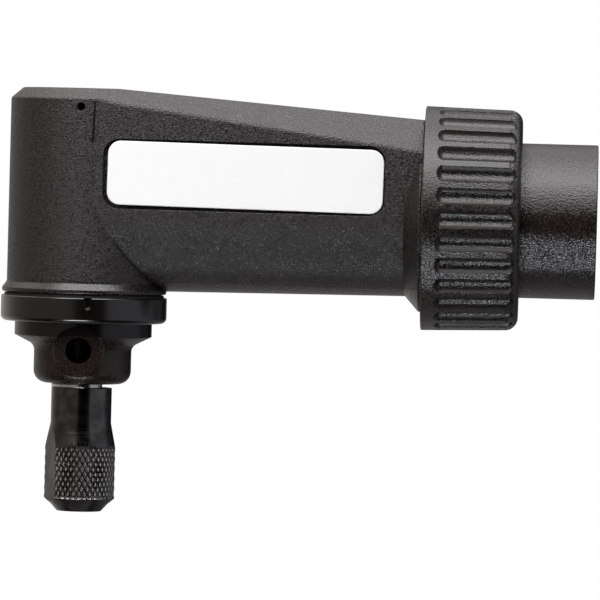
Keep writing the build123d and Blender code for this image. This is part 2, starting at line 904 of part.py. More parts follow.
def spindle_circlip():
    middle_z = lower_bearing_z + shaft_clip_thickness / 2
    return Pos(head_x, 0, middle_z) * shaft_clip(lower_bearing_bore)


def shaft_circlip():
    return level_place(bush_end_x + end_gap + shaft_clip_thickness / 2) * shaft_clip(shaft_radius)


def bore_circlip():
    outer = front_bearing_outer + circlip_groove_depth
    inner = front_bearing_outer - circlip_reach
    clip = open_clip(inner, outer, circlip_thickness - 2 * seat_gap, circlip_mouth)
    return level_place(bush_end_x + circlip_thickness / 2) * clip.rotate(Axis.Z, 180)


def retaining_clip():
    """Bright crescent between the neck and the nut, its horns ending short of the near side."""
    low_z, high_z = clip_z - clip_thickness + seat_gap, clip_z - seat_gap
    ring = tube_upright(low_z, high_z, clip_neck_radius + seat_gap, clip_radius)
    place = Pos(head_x + clip_cut + clip_radius, 0, clip_z)
    return ring - place * Box(2 * clip_radius, 4 * clip_radius, 2 * overshoot)


# Bushes, spacers and washers


def rear_bush():
    return tube_level(bush_start_x, bush_end_x, shaft_radius + running_gap, front_bearing_outer)


def bearing_spacer():
    outer = front_bearing_outer
    return tube_level(bearing_end_x, bush_start_x, outer - spacer_wall, outer)


def upper_bush():
    bore = spindle_radius + running_gap
    return turned_upright(
        (bore, upper_bush_z),
        (upper_bush_radius + upper_bush_flange_wall, upper_bush_z),
        (upper_bush_radius + upper_bush_flange_wall, chamber_top_z),
        (upper_bush_radius, chamber_top_z),
        (upper_bush_radius, upper_bush_top_z),
        (bore, upper_bush_top_z),
    )


def gear_washer():
    return tube_upright(gear_hub_z, gear_washer_z, spindle_radius + seat_gap, gear_hub_radius)


def lower_spacer():
    outer = lower_bearing_outer
    return tube_upright(lower_bearing_z, cap_spigot_z, outer - spacer_wall, outer)


# Collet and nut


def collet():
    """Split collet: a straight shank, a short cone at its shoulder and a long one at its nose."""
    shoulder_z = spindle_end_z - collet_gap
    nose_z = nut_cone_z - collet_cone_drop
    spread = collet_head_radius - spindle_mouth_radius
    body = turned_upright(
        (collet_grip_radius, collet_top_z),
        (collet_radius, collet_top_z),
        (collet_radius, spindle_end_z + spindle_mouth_depth + collet_gap),
        (spindle_mouth_radius - collet_gap, spindle_end_z),
        (collet_head_radius, shoulder_z - spread),
        (collet_head_radius, nut_cone_z),
        (collet_nose_radius, nose_z),
        (collet_grip_radius, nose_z),
    )
    length = collet_slot_length + overshoot
    middle_z = nose_z + collet_slot_length - length / 2
    slot = Pos(head_x, 0, middle_z) * Box(4 * collet_head_radius, collet_slot, length)
    return body - slot - slot.rotate(head_axis, 90)


def collet_nut():
    cone = collet_head_radius + collet_gap
    cone_z = nut_cone_z - collet_gap
    body = turned_upright(
        (nut_bore_radius, nut_top_z),
        (nut_bore_radius, nut_floor_z),
        (cone, nut_floor_z),
        (cone, cone_z),
        (nut_face_hole, cone_z - nut_cone_drop),
        (nut_face_hole, nut_end_z),
        (nut_radius - nut_bevel_drop, nut_end_z),
        (nut_radius, nut_end_z + nut_bevel, edge_round),
        (nut_radius, nut_top_z - nut_neck_length - nut_cone_length),
        (nut_neck_radius, nut_top_z - nut_neck_length),
        (nut_neck_radius, nut_top_z, fine_edge_round),
    )
    height = 2 * (nut_top_z - nut_end_z)
    for side in (1, -1):
        place = Pos(head_x, side * (nut_flats + overshoot) / 2, nut_end_z)
        flat = place * Box(4 * nut_radius, overshoot, height)
        body -= flat.rotate(head_axis, -nut_flats_turn)
    return body


def pieces():
    """Every piece by name. A list is a group of separate like solids."""
    front_place = level_place((bearing_start_x + bearing_end_x) / 2)
    front_size = (shaft_radius, front_bearing_outer, front_bearing_width, front_ball_radius)
    lower_place = Pos(head_x, 0, (lower_bearing_z + lower_bearing_end_z) / 2)
    lower_size = (lower_bearing_bore, lower_bearing_outer, lower_bearing_width, lower_ball_radius)
    return {
        "tool_sleeve": tool_sleeve(),
        "thrust_washer": thrust_washer(),
        "coupling_ring": coupling_ring(),
        "housing": housing(),
        "name_plate": name_plate(),
        "bearing_cap": bearing_cap(),
        "cap_gasket": cap_gasket(),
        "rear_bush": rear_bush(),
        "bearing_spacer": bearing_spacer(),
        "bore_circlip": bore_circlip(),
        "upper_bush": upper_bush(),
        "lower_spacer": lower_spacer(),
        **bearing("front", front_place, *front_size),
        **bearing("lower", lower_place, *lower_size),
        "drive_shaft": drive_shaft(),
        "drive_pinion": drive_pinion(),
        "shaft_circlip": shaft_circlip(),
        "output_spindle": output_spindle(),
        "output_gear": output_gear(),
        "gear_pin": gear_pin(),
        "gear_washer": gear_washer(),
        "spindle_circlip": spindle_circlip(),
        "retaining_clip": retaining_clip(),
        "collet": collet(),
        "collet_nut": collet_nut(),
    }


os.makedirs("parts", exist_ok=True)
for name, piece in pieces().items():
    if isinstance(piece, list):
        piece = Compound(children=[item.solid() for item in piece])
    export_step(piece, f"parts/{name}.step")
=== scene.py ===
import json
from math import ceil, cos, hypot, pi, radians, sin, sqrt, tan

import bmesh
import bpy
from mathutils import Matrix, Vector


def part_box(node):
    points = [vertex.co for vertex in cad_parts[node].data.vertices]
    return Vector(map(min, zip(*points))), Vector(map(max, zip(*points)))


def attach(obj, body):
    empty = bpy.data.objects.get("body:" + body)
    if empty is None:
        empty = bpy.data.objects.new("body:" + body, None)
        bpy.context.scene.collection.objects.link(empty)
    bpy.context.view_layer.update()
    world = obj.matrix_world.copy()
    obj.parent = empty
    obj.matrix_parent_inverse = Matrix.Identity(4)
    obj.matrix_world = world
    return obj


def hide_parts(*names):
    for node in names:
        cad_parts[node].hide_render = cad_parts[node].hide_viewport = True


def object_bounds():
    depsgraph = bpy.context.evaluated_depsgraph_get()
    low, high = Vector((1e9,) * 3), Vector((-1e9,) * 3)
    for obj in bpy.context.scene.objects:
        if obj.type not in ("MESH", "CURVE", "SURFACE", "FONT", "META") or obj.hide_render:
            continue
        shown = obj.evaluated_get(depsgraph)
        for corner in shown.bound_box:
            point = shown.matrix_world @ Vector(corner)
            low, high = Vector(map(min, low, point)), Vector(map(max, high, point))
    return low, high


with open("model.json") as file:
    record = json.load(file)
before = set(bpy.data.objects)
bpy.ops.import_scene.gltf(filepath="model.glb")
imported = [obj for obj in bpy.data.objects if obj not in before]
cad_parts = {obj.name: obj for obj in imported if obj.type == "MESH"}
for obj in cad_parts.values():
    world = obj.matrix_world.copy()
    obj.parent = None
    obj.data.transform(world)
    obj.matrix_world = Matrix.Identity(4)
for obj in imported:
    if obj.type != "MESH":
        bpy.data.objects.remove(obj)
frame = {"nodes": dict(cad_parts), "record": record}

bl_info = {
    "name": "Right angle attachment",
    "version": (1, 0, 0),
    "blender": (4, 5, 0),
    "location": "View3D > Sidebar > Attachment",
    "description": "Makes the pieces, finishes and stage of a rotary tool's right angle attachment",
    "category": "Add Mesh",
}

# Units: sizes in this file are millimetres, and meshes are metres
MM = 0.001
CAD_BOX = [list(corner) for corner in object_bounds()]

# The two axes: the input axis is X, and the output axis is upright through HEAD_X
HEAD_X = -72.2
INPUT_PLACE = Matrix(((0, 0, 1, 0), (1, 0, 0, 0), (0, 1, 0, 0), (0, 0, 0, 1)))
OUTPUT_PLACE = Matrix.Translation((HEAD_X, 0, 0))
FRONT = (0, -1, 0)

# Smoothness of turned shapes
ARC_STEP = radians(9)
FINE_STEPS = 256
SLEEVE_STEPS = 160
PLAIN_STEPS = 144
ROD_STEPS = 96
HOLE_STEPS = 72
SHARP_ANGLE = radians(27)
THREAD_SHARP_ANGLE = radians(35)
MERGE_DISTANCE = 2e-7

# Housing: pairs are values at the head's axis and at the collar
HEAD_RADIUS = 11.0
HEAD_TOP_Z = 17.0
HEAD_BEVEL = (1.7, 1.5)
FOOT_RADIUS = 11.65
FOOT_Z = -11.9
FOOT_RIM = 0.6
FOOT_FLARE = 0.9
COLLAR_START = (10.2, -27.53)
COLLAR_RADIUS = 13.6
COLLAR_END_X = -24.52
HALF_WIDTH = 10.82
BELLY_DEPTH = (11.5, 11.1)
SHOULDER_Z = (15.67, 9.36)
ROOF_Z = (17.37, 13.79)
ROOF_SLOPE = (ROOF_Z[1] - ROOF_Z[0]) / (COLLAR_END_X - HEAD_X)
LEVEL_END_X = HEAD_X + (HEAD_TOP_Z - ROOF_Z[0]) / ROOF_SLOPE
HOUSING_END_X = -17.65
THREAD_RADIUS = 13.2
OIL_HOLE = (HEAD_X - 0.2, 0, 14.33)
OIL_HOLE_RADIUS = 0.52
OIL_HOLE_CHAMFER = 0.16

# Plate in its recess on the barrel's near side
PLATE_MIDDLE = (-49.2, 5.1)
PLATE_SIZE = (38.6, 8.95)
PLATE_CORNER = 1.8
PLATE_TILT = radians(0.6)
PLATE_DEPTH = 0.5
RECESS_SEAT = Matrix.Translation((-0.2, -0.03, 0)) @ Matrix.Rotation(radians(0.4), 4, "Z")
MOAT_DEPTH = 1.5

# Seam beside the oil hole: height, sideways shift and half width of its groove
SEAM_DEPTH = 0.16
SEAM = (
    (15.1, -0.25, 0.46), (14.3, -0.21, 0.40), (13.4, -0.25, 0.44),
    (12.5, -0.35, 0.36), (11.6, -0.30, 0.40), (10.7, -0.39, 0.42),
    (9.9, -0.45, 0.46), (9.5, -0.41, 0.56), (9.3, -0.43, 0.25),
)

# Crease under the barrel: its groove, and the angles from the belly's lowest line
CREASE_DEPTH = 0.13
CREASE_HALF = 0.11
CREASE_ANGLES = (66, 8.4)

# Foot's bores, each a radius and an end: open foot, gears, upper bush, the spindle's end
FOOT_BORES = ((9.5, -9.3), (7.4, 10.6), (4.51, 14.0), (4.0, 15.0))

# Barrel's bores: pinion, bearing and bush with the circlip's groove between, the sleeve's pilot
BARREL_BORES = (
    (6.83, -62.2), (7.51, -29.0), (8.01, -28.0), (7.51, -22.8), (9.95, HOUSING_END_X + 2),
)

# Cap's bores: the spindle's opening, its collar, the inner ring's step, the bearing's seat
CAP_BORES = ((3.9, -23.7), (5.3, -16.7), (7.2, -16.4), (8.51, -7.4))

# Index teeth on the facing ends of housing and sleeve
TEETH = 12
TEETH_RADII = (10.5, 12.8)
TOOTH_HALVES = (1.3, 0.9)
TOOTH_HEIGHT = 0.6
TOOTH_SUNK = 0.15

# Bearing cap: spigot, flange, step, neck and the lock pin's boss
SPIGOT_RADIUS = 9.4
SPIGOT_TOP_Z = -9.4
CAP_TOP_Z = -12.35
FLANGE_RADIUS = 11.75
FLANGE_Z = -16.0
STEP_RADIUS = 9.72
STEP_Z = -17.95
NECK_RADIUS = 6.9
NECK_TOP_Z = -19.35
NECK_END_Z = -24.7
BOSS_RADIUS = 3.75
BOSS_REACH = 7.75
BOSS_CHAMFER = 0.4
BOSS_FACE_Y = -7.7
BOSS_FACE_RADIUS = 3.45
PIN_HOLE_RADIUS = 1.84
PIN_HOLE_Z = -19.9
NOTCH_TURN = radians(7.1)
NOTCH_DEPTH = 1.7
NOTCH_ROUND = 0.6

# Ring: pairs are values at its start and at its end
RING_START_X = -24.4
RING_END_X = -10.7
RING_RADII = (15.835, 15.49)
RING_TAPER = (RING_RADII[0] - RING_RADII[1]) / (RING_END_X - RING_START_X)
RING_BORE_RADIUS = 13.3
LIP_RADIUS = 11.02
LIP_X = -13.2
GROOVES_X = (RING_START_X + 2.0, RING_START_X + 13.0)
GROOVE_BLUNTNESS = 1.45

# Sleeve
SLEEVE_RADIUS = 10.92
SLEEVE_FLANGE_RADIUS = 12.9
SLEEVE_FLANGE_X = (-13.8, -16.2)
PILOT_RADIUS = 9.9
PILOT_END_X = -22.5
TOOL_THREAD_RADIUS = 8.38

# Output side
SPINDLE_RADIUS = 3.57
SPINDLE_END_Z = -39.2
CROSS_HOLE_RADIUS = 1.65
CROSS_HOLE_TURN = radians(50)
CLIP_GROOVE_RADIUS = 2.9
CLIP_GROOVE_Z = (-25.25, -24.8)
CLIP_RADIUS = 4.3
CLIP_MOUTH = 1.5
NUT_TOP_Z = -25.3
NUT_END_Z = -42.8
NUT_RADIUS = 5.0
NUT_NECK_RADIUS = 4.285
NUT_BORE_RADIUS = 3.63
NUT_CONE_Z = (-30.3, -33.85)
KNURL_Z = (-40.94, -33.4)
COLLET_END_Z = -41.468
COLLET_SLOT_WIDTH = 0.35

# Finishes that are no settings
BARE_METAL = (0.70, 0.66, 0.59)
BEARING_STEEL = (0.66, 0.66, 0.67)
GEAR_STEEL = (0.36, 0.35, 0.34)
CAGE_NYLON = (0.36, 0.32, 0.22)
GASKET_RUBBER = (0.012, 0.012, 0.012)
FIBRE_GRAIN = 4.6

# Stage
FLOOR_X = -40
STAGE_MIDDLE = (-42, 0, -10)
SOFT_BOX_RISE = radians(62)
SOFT_BOX_DISTANCE = 500
SOFT_BOX_SIZE = (550, 520)
SIDE_LAMP_PLACE = (-120, -100, 50)
SIDE_LAMP_AIM = (-70, 0, 0)
SIDE_LAMP_SIZE = (60, 60)
CARD_LEVEL = 15.0
DARKEST_LEVEL = 0.005
CAMERA_X_Z = (-7.9, 6.9)
CAMERA_AIM_X_Z = (-41.56, -12.07)


def length(name, description, default):
    """A length property whose default is given in millimetres."""
    return bpy.props.FloatProperty(
        name=name, description=description, default=default * MM, unit="LENGTH", precision=5
    )


def turn(name, description, default):
    """An angle property whose default is given in degrees."""
    return bpy.props.FloatProperty(
        name=name, description=description, default=radians(default), subtype="ANGLE"
    )


def colour(name, description, default):
    return bpy.props.FloatVectorProperty(
        name=name, description=description, default=default, subtype="COLOR", min=0, max=1
    )


def number(name, description, default):
    return bpy.props.FloatProperty(name=name, description=description, default=default)


def count(name, description, default):
    return bpy.props.IntProperty(name=name, description=description, default=default, min=1)


class HousingSettings(bpy.types.PropertyGroup):
    edge_round: length("Edge rounding", "Rounding of the head's bevelled edges", 0.45)
    shoulder_round: length("Shoulder rounding", "Rounding of the barrel's shoulders", 1.2)
    plate_margin: length("Plate margin", "Gap between the plate and its recess", 0.42)
    recess_lip: length("Recess lip", "Rounding of the recess's rim", 0.06)
    plate_edge: length("Plate edge", "Rounding of the plate's edge", 0.16)


class RingSettings(bpy.types.PropertyGroup):
    groove_count: count("Grooves", "Grip grooves round the ring", 30)
    groove_width: length("Groove width", "Width of a grip groove", 2.35)
    groove_depth: length("Groove depth", "Depth of a grip groove", 0.85)
    groove_lip: length("Groove lip", "Softness of the corners of a groove", 0.08)
    corner: length("Corner", "Rounding of the ring's outer corner", 1.8)


class ThreadSettings(bpy.types.PropertyGroup):
    tool_pitch: length("Tool thread pitch", "Pitch of the thread in the sleeve, 12 to the inch", 2.1167)
    tool_depth: length("Tool thread depth", "Depth of the thread in the sleeve", 1.1)
    spindle_pitch: length("Spindle thread pitch", "Pitch of the spindle's thread, 40 to the inch", 0.635)
    spindle_depth: length("Spindle thread depth", "Depth of the spindle's thread", 0.36)


class NutSettings(bpy.types.PropertyGroup):
    knurl_count: count("Knurls", "Diamonds round the nut", 40)
    knurl_row: length("Knurl row", "Height from one row of diamonds to the next", 0.70)
    knurl_depth: length("Knurl depth", "Depth of the knurl's grooves", 0.15)
    flats: length("Flats", "Distance across the two flats", 9.0)
    flats_turn: turn("Turn of the flats", "Direction of a flat, from the front", 64)


class FinishSettings(bpy.types.PropertyGroup):
    moulded: colour("Moulded black", "Colour of the moulded housing", (0.0095, 0.0072, 0.0066))
    ring: colour("Ring black", "Colour of the moulded ring", (0.0078, 0.0050, 0.0044))
    sleeve: colour("Sleeve black", "Colour of the moulded sleeve", (0.0074, 0.0042, 0.0038))
    plate: colour("Plate white", "Colour of the bare plate", (0.92, 0.92, 0.92))
    blackened: colour("Blackened metal", "Colour of the blackened cap", (0.0052, 0.0030, 0.0024))
    nut: colour("Blued steel", "Colour of the blackened nut", (0.100, 0.094, 0.094))
    bright: colour("Bright steel", "Colour of the bare steel", (0.62, 0.60, 0.57))
    bronze: colour("Bronze", "Colour of the bushes", (0.48, 0.31, 0.14))


class StageSettings(bpy.types.PropertyGroup):
    floor_drop: length("Floor drop", "Distance from the lowest piece to the floor", 42.0)
    floor_radius: length("Floor radius", "Radius of the round floor", 250.0)
    camera_distance: length("Camera distance", "From the camera to the input axis", 775.8)
    lens: number("Lens", "Focal length of the camera in millimetres", 329.3)
    camera_roll: turn("Camera roll", "Roll of the camera", 1.54)
    backdrop: number("Backdrop", "Brightness of the white backdrop", 1.0)
    room_level: number("Room level", "Brightness of the light from all round", 0.10)
    soft_box: number("Soft box", "Power of the soft box over the front", 4.2)
    side_lamp: number("Side lamp", "Power of the lamp at the front left", 0.02)


# Node maths


class Term:
    """A socket of a node tree, so that node maths reads as plain expressions."""

    def __init__(self, graph, socket):
        self.graph = graph
        self.socket = socket

    def __add__(self, other):
        return self.graph.maths("ADD", self, other)

    __radd__ = __add__

    def __sub__(self, other):
        return self.graph.maths("SUBTRACT", self, other)

    def __rsub__(self, other):
        return self.graph.maths("SUBTRACT", other, self)

    def __mul__(self, other):
        return self.graph.maths("MULTIPLY", self, other)

    __rmul__ = __mul__

    def __truediv__(self, other):
        return self.graph.maths("DIVIDE", self, other)


class Graph:
    """A node tree that is being written."""

    def __init__(self, tree):
        self.tree = tree
        tree.nodes.clear()

    def add(self, kind, settings=None, values=None, output=0):
        """Adds a node: its settings first, then the values or links of its sockets."""
        node = self.tree.nodes.new(kind)
        for name, value in (settings or {}).items():
            setattr(node, name, value)
        for key, value in (values or {}).items():
            if isinstance(value, Term):
                self.tree.links.new(value.socket, node.inputs[key])
            else:
                node.inputs[key].default_value = value
        return Term(self, node.outputs[output]) if len(node.outputs) else node

    def maths(self, operation, *values):
        return self.add("ShaderNodeMath", {"operation": operation}, dict(enumerate(values)))

    def distance(self, a, b):
        """Distance from an axis, of a place with these two coordinates across it."""
        return self.maths("SQRT", a * a + b * b)

    def blend(self, share, first, second):
        """Mixes two colours."""
        values = {0: share, 6: first, 7: second}
        return self.add("ShaderNodeMix", {"data_type": "RGBA"}, values, output=2)

    def step(self, value, low, high, to_low=0.0, to_high=1.0, kind="SMOOTHSTEP"):
        """Step of a value between two limits, smooth unless kind is LINEAR."""
        limits = {"From Min": low, "From Max": high, "To Min": to_low, "To Max": to_high}
        return self.add("ShaderNodeMapRange", {"interpolation_type": kind}, {"Value": value, **limits})

    def noise(self, place, scale, detail=2.0, rough=0.5, size="3D"):
        values = {"Vector": place, "Scale": scale, "Detail": detail, "Roughness": rough}
        return self.add("ShaderNodeTexNoise", {"noise_dimensions": size}, values)

    def clouds(self, place, scale, detail, rough):
        """Soft patches: noise with more contrast."""
        return self.step(self.noise(place, scale, detail, rough), 0.35, 0.65)

    def cells(self, place, scale):
        return self.add("ShaderNodeTexVoronoi", None, {"Vector": place, "Scale": scale})

    def parts(self, vector):
        """The three numbers of a vector."""
        node = self.tree.nodes.new("ShaderNodeSeparateXYZ")
        self.tree.links.new(vector.socket, node.inputs[0])
        return [Term(self, socket) for socket in node.outputs]

    def joined(self, x, y, z):
        return self.add("ShaderNodeCombineXYZ", None, {0: x, 1: y, 2: z})


# Outlines


def rounded(corners):
    """Closed outline of (radius, along) points, from corners that may have a rounding."""
    points = []
    for i, corner in enumerate(corners):
        spot = Vector(corner[:2])
        rounding = corner[2] if len(corner) > 2 else 0
        if not rounding:
            points.append(tuple(spot))
            continue
        before, after = corners[i - 1], corners[(i + 1) % len(corners)]
        points += corner_arc(Vector(before[:2]), spot, Vector(after[:2]), rounding)
    return points


def corner_arc(before, spot, after, rounding, steps=None):
    back, onward = (before - spot).normalized(), (after - spot).normalized()
    half = back.angle(onward) / 2
    middle = spot + (back + onward).normalized() * (rounding / sin(half))
    start = spot + back * (rounding / tan(half)) - middle
    end = spot + onward * (rounding / tan(half)) - middle
    sweep = pi - 2 * half
    side = 1 if start.x * end.y - start.y * end.x > 0 else -1
    steps = steps or max(3, ceil(sweep / ARC_STEP))
    points = []
    for i in range(steps + 1):
        angle = side * sweep * i / steps
        x = start.x * cos(angle) - start.y * sin(angle)
        y = start.x * sin(angle) + start.y * cos(angle)
        points.append((middle.x + x, middle.y + y))
    return points


def rows(first, last, pieces):
    """Evenly spaced points between two points, with both ends."""
    shares = [i / pieces for i in range(pieces + 1)]
    return [tuple(a + (b - a) * share for a, b in zip(first, last)) for share in shares]


# Meshes


def new_object(name, mesh):
    made = bpy.data.objects.new(name, mesh)
    bpy.context.scene.collection.objects.link(made)
    return made


def mesh_from(name, points, faces, place):
    """Mesh with its faces outwards, from points in millimetres."""
    mesh = bpy.data.meshes.new(name)
    spots = [place @ Vector(point) * MM for point in points]
    mesh.from_pydata([tuple(spot) for spot in spots], [], faces)
    shape = bmesh.new()
    shape.from_mesh(mesh)
    bmesh.ops.remove_doubles(shape, verts=shape.verts, dist=MERGE_DISTANCE)
    bmesh.ops.recalc_face_normals(shape, faces=shape.faces)
    shape.to_mesh(mesh)
    shape.free()
    return mesh


def turned(name, outline, place, steps=FINE_STEPS, angles=None, shape=None):
    """Solid turned about an axis.

    With angles it is an open sector that has them. With shape, a function of the radius, the
    place along the axis and the angle, each point gets the radius that this gives.
    """
    whole = angles is None
    angles = angles or [2 * pi * i / steps for i in range(steps)]
    points = []
    for angle in angles:
        for radius, along in outline:
            if shape:
                radius = shape(radius, along, angle)
            points.append((radius * cos(angle), radius * sin(angle), along))
    rim, faces = len(outline), []
    for i in range(len(angles) if whole else len(angles) - 1):
        near, far = i * rim, (i + 1) % len(angles) * rim
        for j in range(rim):
            k = (j + 1) % rim
            if outline[j][0] or outline[k][0]:
                faces.append((near + j, near + k, far + k, far + j))
    return new_object(name, mesh_from(name, points, faces, place))


def lofted(name, sections, place=Matrix()):
    """Solid through closed sections that have as many points each."""
    rim, points, faces = len(sections[0]), [], []
    for section in sections:
        points += section
    for i in range(len(sections) - 1):
        for j in range(rim):
            k = (j + 1) % rim
            faces.append((i * rim + j, i * rim + k, (i + 1) * rim + k, (i + 1) * rim + j))
    faces.append(tuple(range(rim)))
    faces.append(tuple(range((len(sections) - 1) * rim, len(sections) * rim)))
    return new_object(name, mesh_from(name, points, faces, place))


def bore(name, start, stretches, place, steps=PLAIN_STEPS):
    """Stepped round bar, from the radius and the end of each stretch."""
    outline = [(0, start)]
    for radius, end in stretches:
        outline += [(radius, start), (radius, end)]
        start = end
    outline.append((0, start))
    return turned(name, outline, place, steps)


def pointing(start, direction):
    """Place of a turned shape whose axis starts at a point and runs along a direction."""
    towards = Vector(direction).to_track_quat("Z", "Y").to_matrix().to_4x4()
    return Matrix.Translation(start) @ towards


def rod(name, start, direction, radius, reach):
    """Round bar from a point along a direction."""
    return bore(name, 0, [(radius, reach)], pointing(start, direction), HOLE_STEPS)


def block(name, size, place):
    x, y, z = (side / 2 for side in size)
    low = [(-x, -y, -z), (x, -y, -z), (x, y, -z), (-x, y, -z)]
    high = [(a, b, z) for a, b, _ in low]
    return lofted(name, [low, high], place)


def take_result(made):
    """Applies an object's modifiers by reading its evaluated mesh."""
    bpy.context.view_layer.update()
    seen = bpy.context.evaluated_depsgraph_get()
    mesh = bpy.data.meshes.new_from_object(made.evaluated_get(seen), depsgraph=seen)
    made.modifiers.clear()
    made.data = mesh
    return made


def carve(made, operation, *tools):
    """Joins each tool to an object, cuts it away or keeps what both share, and removes it."""
    for tool in tools:
        change = made.modifiers.new("carve", "BOOLEAN")
        change.operation = operation
        change.solver = "MANIFOLD"
        change.object = tool
    take_result(made)
    for tool in tools:
        bpy.data.objects.remove(tool)
    if not made.data.polygons:
        raise RuntimeError(f"{made.name} came out empty")
    return made


def smoothed(made, angle=SHARP_ANGLE):
    """Cleans a shape, marks its sharp edges and lets its large faces lead the shading."""
    shape = bmesh.new()
    shape.from_mesh(made.data)
    bmesh.ops.remove_doubles(shape, verts=shape.verts, dist=MERGE_DISTANCE)
    bmesh.ops.dissolve_degenerate(shape, edges=shape.edges, dist=MERGE_DISTANCE)
    shape.to_mesh(made.data)
    shape.free()
    made.data.shade_smooth()
    made.data.set_sharp_from_angle(angle=angle)
    weighted = made.modifiers.new("weighted", "WEIGHTED_NORMAL")
    weighted.keep_sharp = True
    return take_result(made)


def settled(made, material, node, body):
    """Gives a finished piece its material, and puts it in the place of its CAD node."""
    made.data.materials.clear()
    made.data.materials.append(material)
    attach(made, body)
    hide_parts(node)


# Geometry Nodes


def new_tree(name, inputs):
    """Geometry Nodes tree with inputs of the kinds given: its graph and its inputs."""
    tree = bpy.data.node_groups.new(name, "GeometryNodeTree")
    for key, kind in inputs.items():
        tree.interface.new_socket(key, in_out="INPUT", socket_type="NodeSocket" + kind)
    tree.interface.new_socket("Geometry", in_out="OUTPUT", socket_type="NodeSocketGeometry")
    graph = Graph(tree)
    given = tree.nodes.new("NodeGroupInput")
    return graph, [Term(graph, given.outputs[i]) for i in range(len(inputs))]


def end_tree(graph, geometry, material):
    """Ends a Geometry Nodes tree: it has real geometry by now, and gets its material."""
    values = {"Geometry": geometry, "Material": material}
    finished = graph.add("GeometryNodeSetMaterial", None, values)
    graph.add("NodeGroupOutput", None, {0: finished})
    return graph.tree


def repeat_tree():
    """Tree that repeats a sector round the upright axis of its own space and joins the copies."""
    inputs = {"Sector": "Geometry", "Count": "Int", "Merge Distance": "Float", "Material": "Material"}
    graph, (sector, copies, gap, material) = new_tree("Repeat round an axis", inputs)
    angle = graph.add("GeometryNodeInputIndex") * (2 * pi) / copies
    facing = graph.add("FunctionNodeAxisAngleToRotation", None, {"Axis": (0, 0, 1), "Angle": angle})
    points = graph.add("GeometryNodePoints", None, {"Count": copies})
    values = {"Points": points, "Instance": sector, "Rotation": facing}
    copied = graph.add("GeometryNodeInstanceOnPoints", None, values)
    real = graph.add("GeometryNodeRealizeInstances", None, {0: copied})
    joined = graph.add("GeometryNodeMergeByDistance", None, {"Geometry": real, "Distance": gap})
    return end_tree(graph, joined, material)


def thread_tree():
    """Tree that cuts a screw thread into a skin turned about the upright axis of its own space."""
    sizes = ("Pitch", "Depth", "Start", "End", "Inner Radius", "Outer Radius", "Crest")
    inputs = {"Geometry": "Geometry", **dict.fromkeys(sizes, "Float"), "Material": "Material"}
    graph, terms = new_tree("Cut a thread", inputs)
    shape, pitch, depth, start, end, inner, outer, crest, material = terms
    place = graph.add("GeometryNodeInputPosition")
    x, y, z = graph.parts(place)
    radius = graph.distance(x, y)
    angle = graph.maths("ARCTAN2", y, x)
    phase = graph.maths("FRACT", z / pitch - angle / (2 * pi) + 10)
    ridge = graph.maths("ABSOLUTE", phase * 2 - 1)
    groove = graph.step(ridge, crest, 1 - crest / 2, kind="LINEAR")
    fade = pitch / 2
    run_in = graph.step(z, start, start + fade, kind="LINEAR")
    run_out = graph.step(z, end, end - fade, kind="LINEAR")
    skin = graph.maths("GREATER_THAN", radius, inner) * graph.maths("LESS_THAN", radius, outer)
    shift = groove * run_in * run_out * skin * depth / radius
    values = {0: place, 1: graph.joined(shift, shift, 0)}
    moved = graph.add("ShaderNodeVectorMath", {"operation": "MULTIPLY"}, values)
    values = {"Geometry": shape, "Offset": moved}
    cut = graph.add("GeometryNodeSetPosition", None, values)
    real = graph.add("GeometryNodeRealizeInstances", None, {0: cut})
    return end_tree(graph, real, material)


def grown(made, tree, **values):
    """Runs a Geometry Nodes tree on an object, its inputs given by name, and keeps the mesh."""
    change = made.modifiers.new(tree.name, "NODES")
    change.node_group = tree
    for item in tree.interface.items_tree:
        key = item.name.lower().replace(" ", "_")
        if item.in_out == "INPUT" and key in values:
            change[item.identifier] = values[key]
    return take_result(made)


def threaded(made, pitch, depth, radius, start, end, crest, material):
    """Cuts a thread between two heights, into the skin that has a radius."""
    near = 0.05
    return grown(
        made,
        thread_tree(),
        pitch=pitch,
        depth=depth,
        start=start * MM,
        end=end * MM,
        inner_radius=(radius - near) * MM,
        outer_radius=(radius + near) * MM,
        crest=crest,
        material=material,
    )


def put(made, place):
    """Moves a shape from its own space, in millimetres, to its place in the part."""
    scale = Matrix.Scale(MM, 4)
    made.data.transform(scale @ place @ scale.inverted())
    return made


# Finishes


def new_material(name):
    material = bpy.data.materials.new(name)
    material.use_nodes = True
    return material, Graph(material.node_tree)


def millimetres(graph):
    """The place on the piece, in millimetres."""
    values = {0: graph.add("ShaderNodeTexCoord", output="Object"), "Scale": 1 / MM}
    return graph.add("ShaderNodeVectorMath", {"operation": "SCALE"}, values)


def surfaced(graph, values, height, distance):
    """Ends a material with its shader, with a bump of a height in millimetres."""
    normal = graph.add("ShaderNodeBump", None, {"Height": height, "Distance": distance * MM})
    shader = graph.add("ShaderNodeBsdfPrincipled", None, {**values, "Normal": normal})
    graph.add("ShaderNodeOutputMaterial", None, {"Surface": shader})


def rgb(value, factor=1.0):
    return (value[0] * factor, value[1] * factor, value[2] * factor, 1)


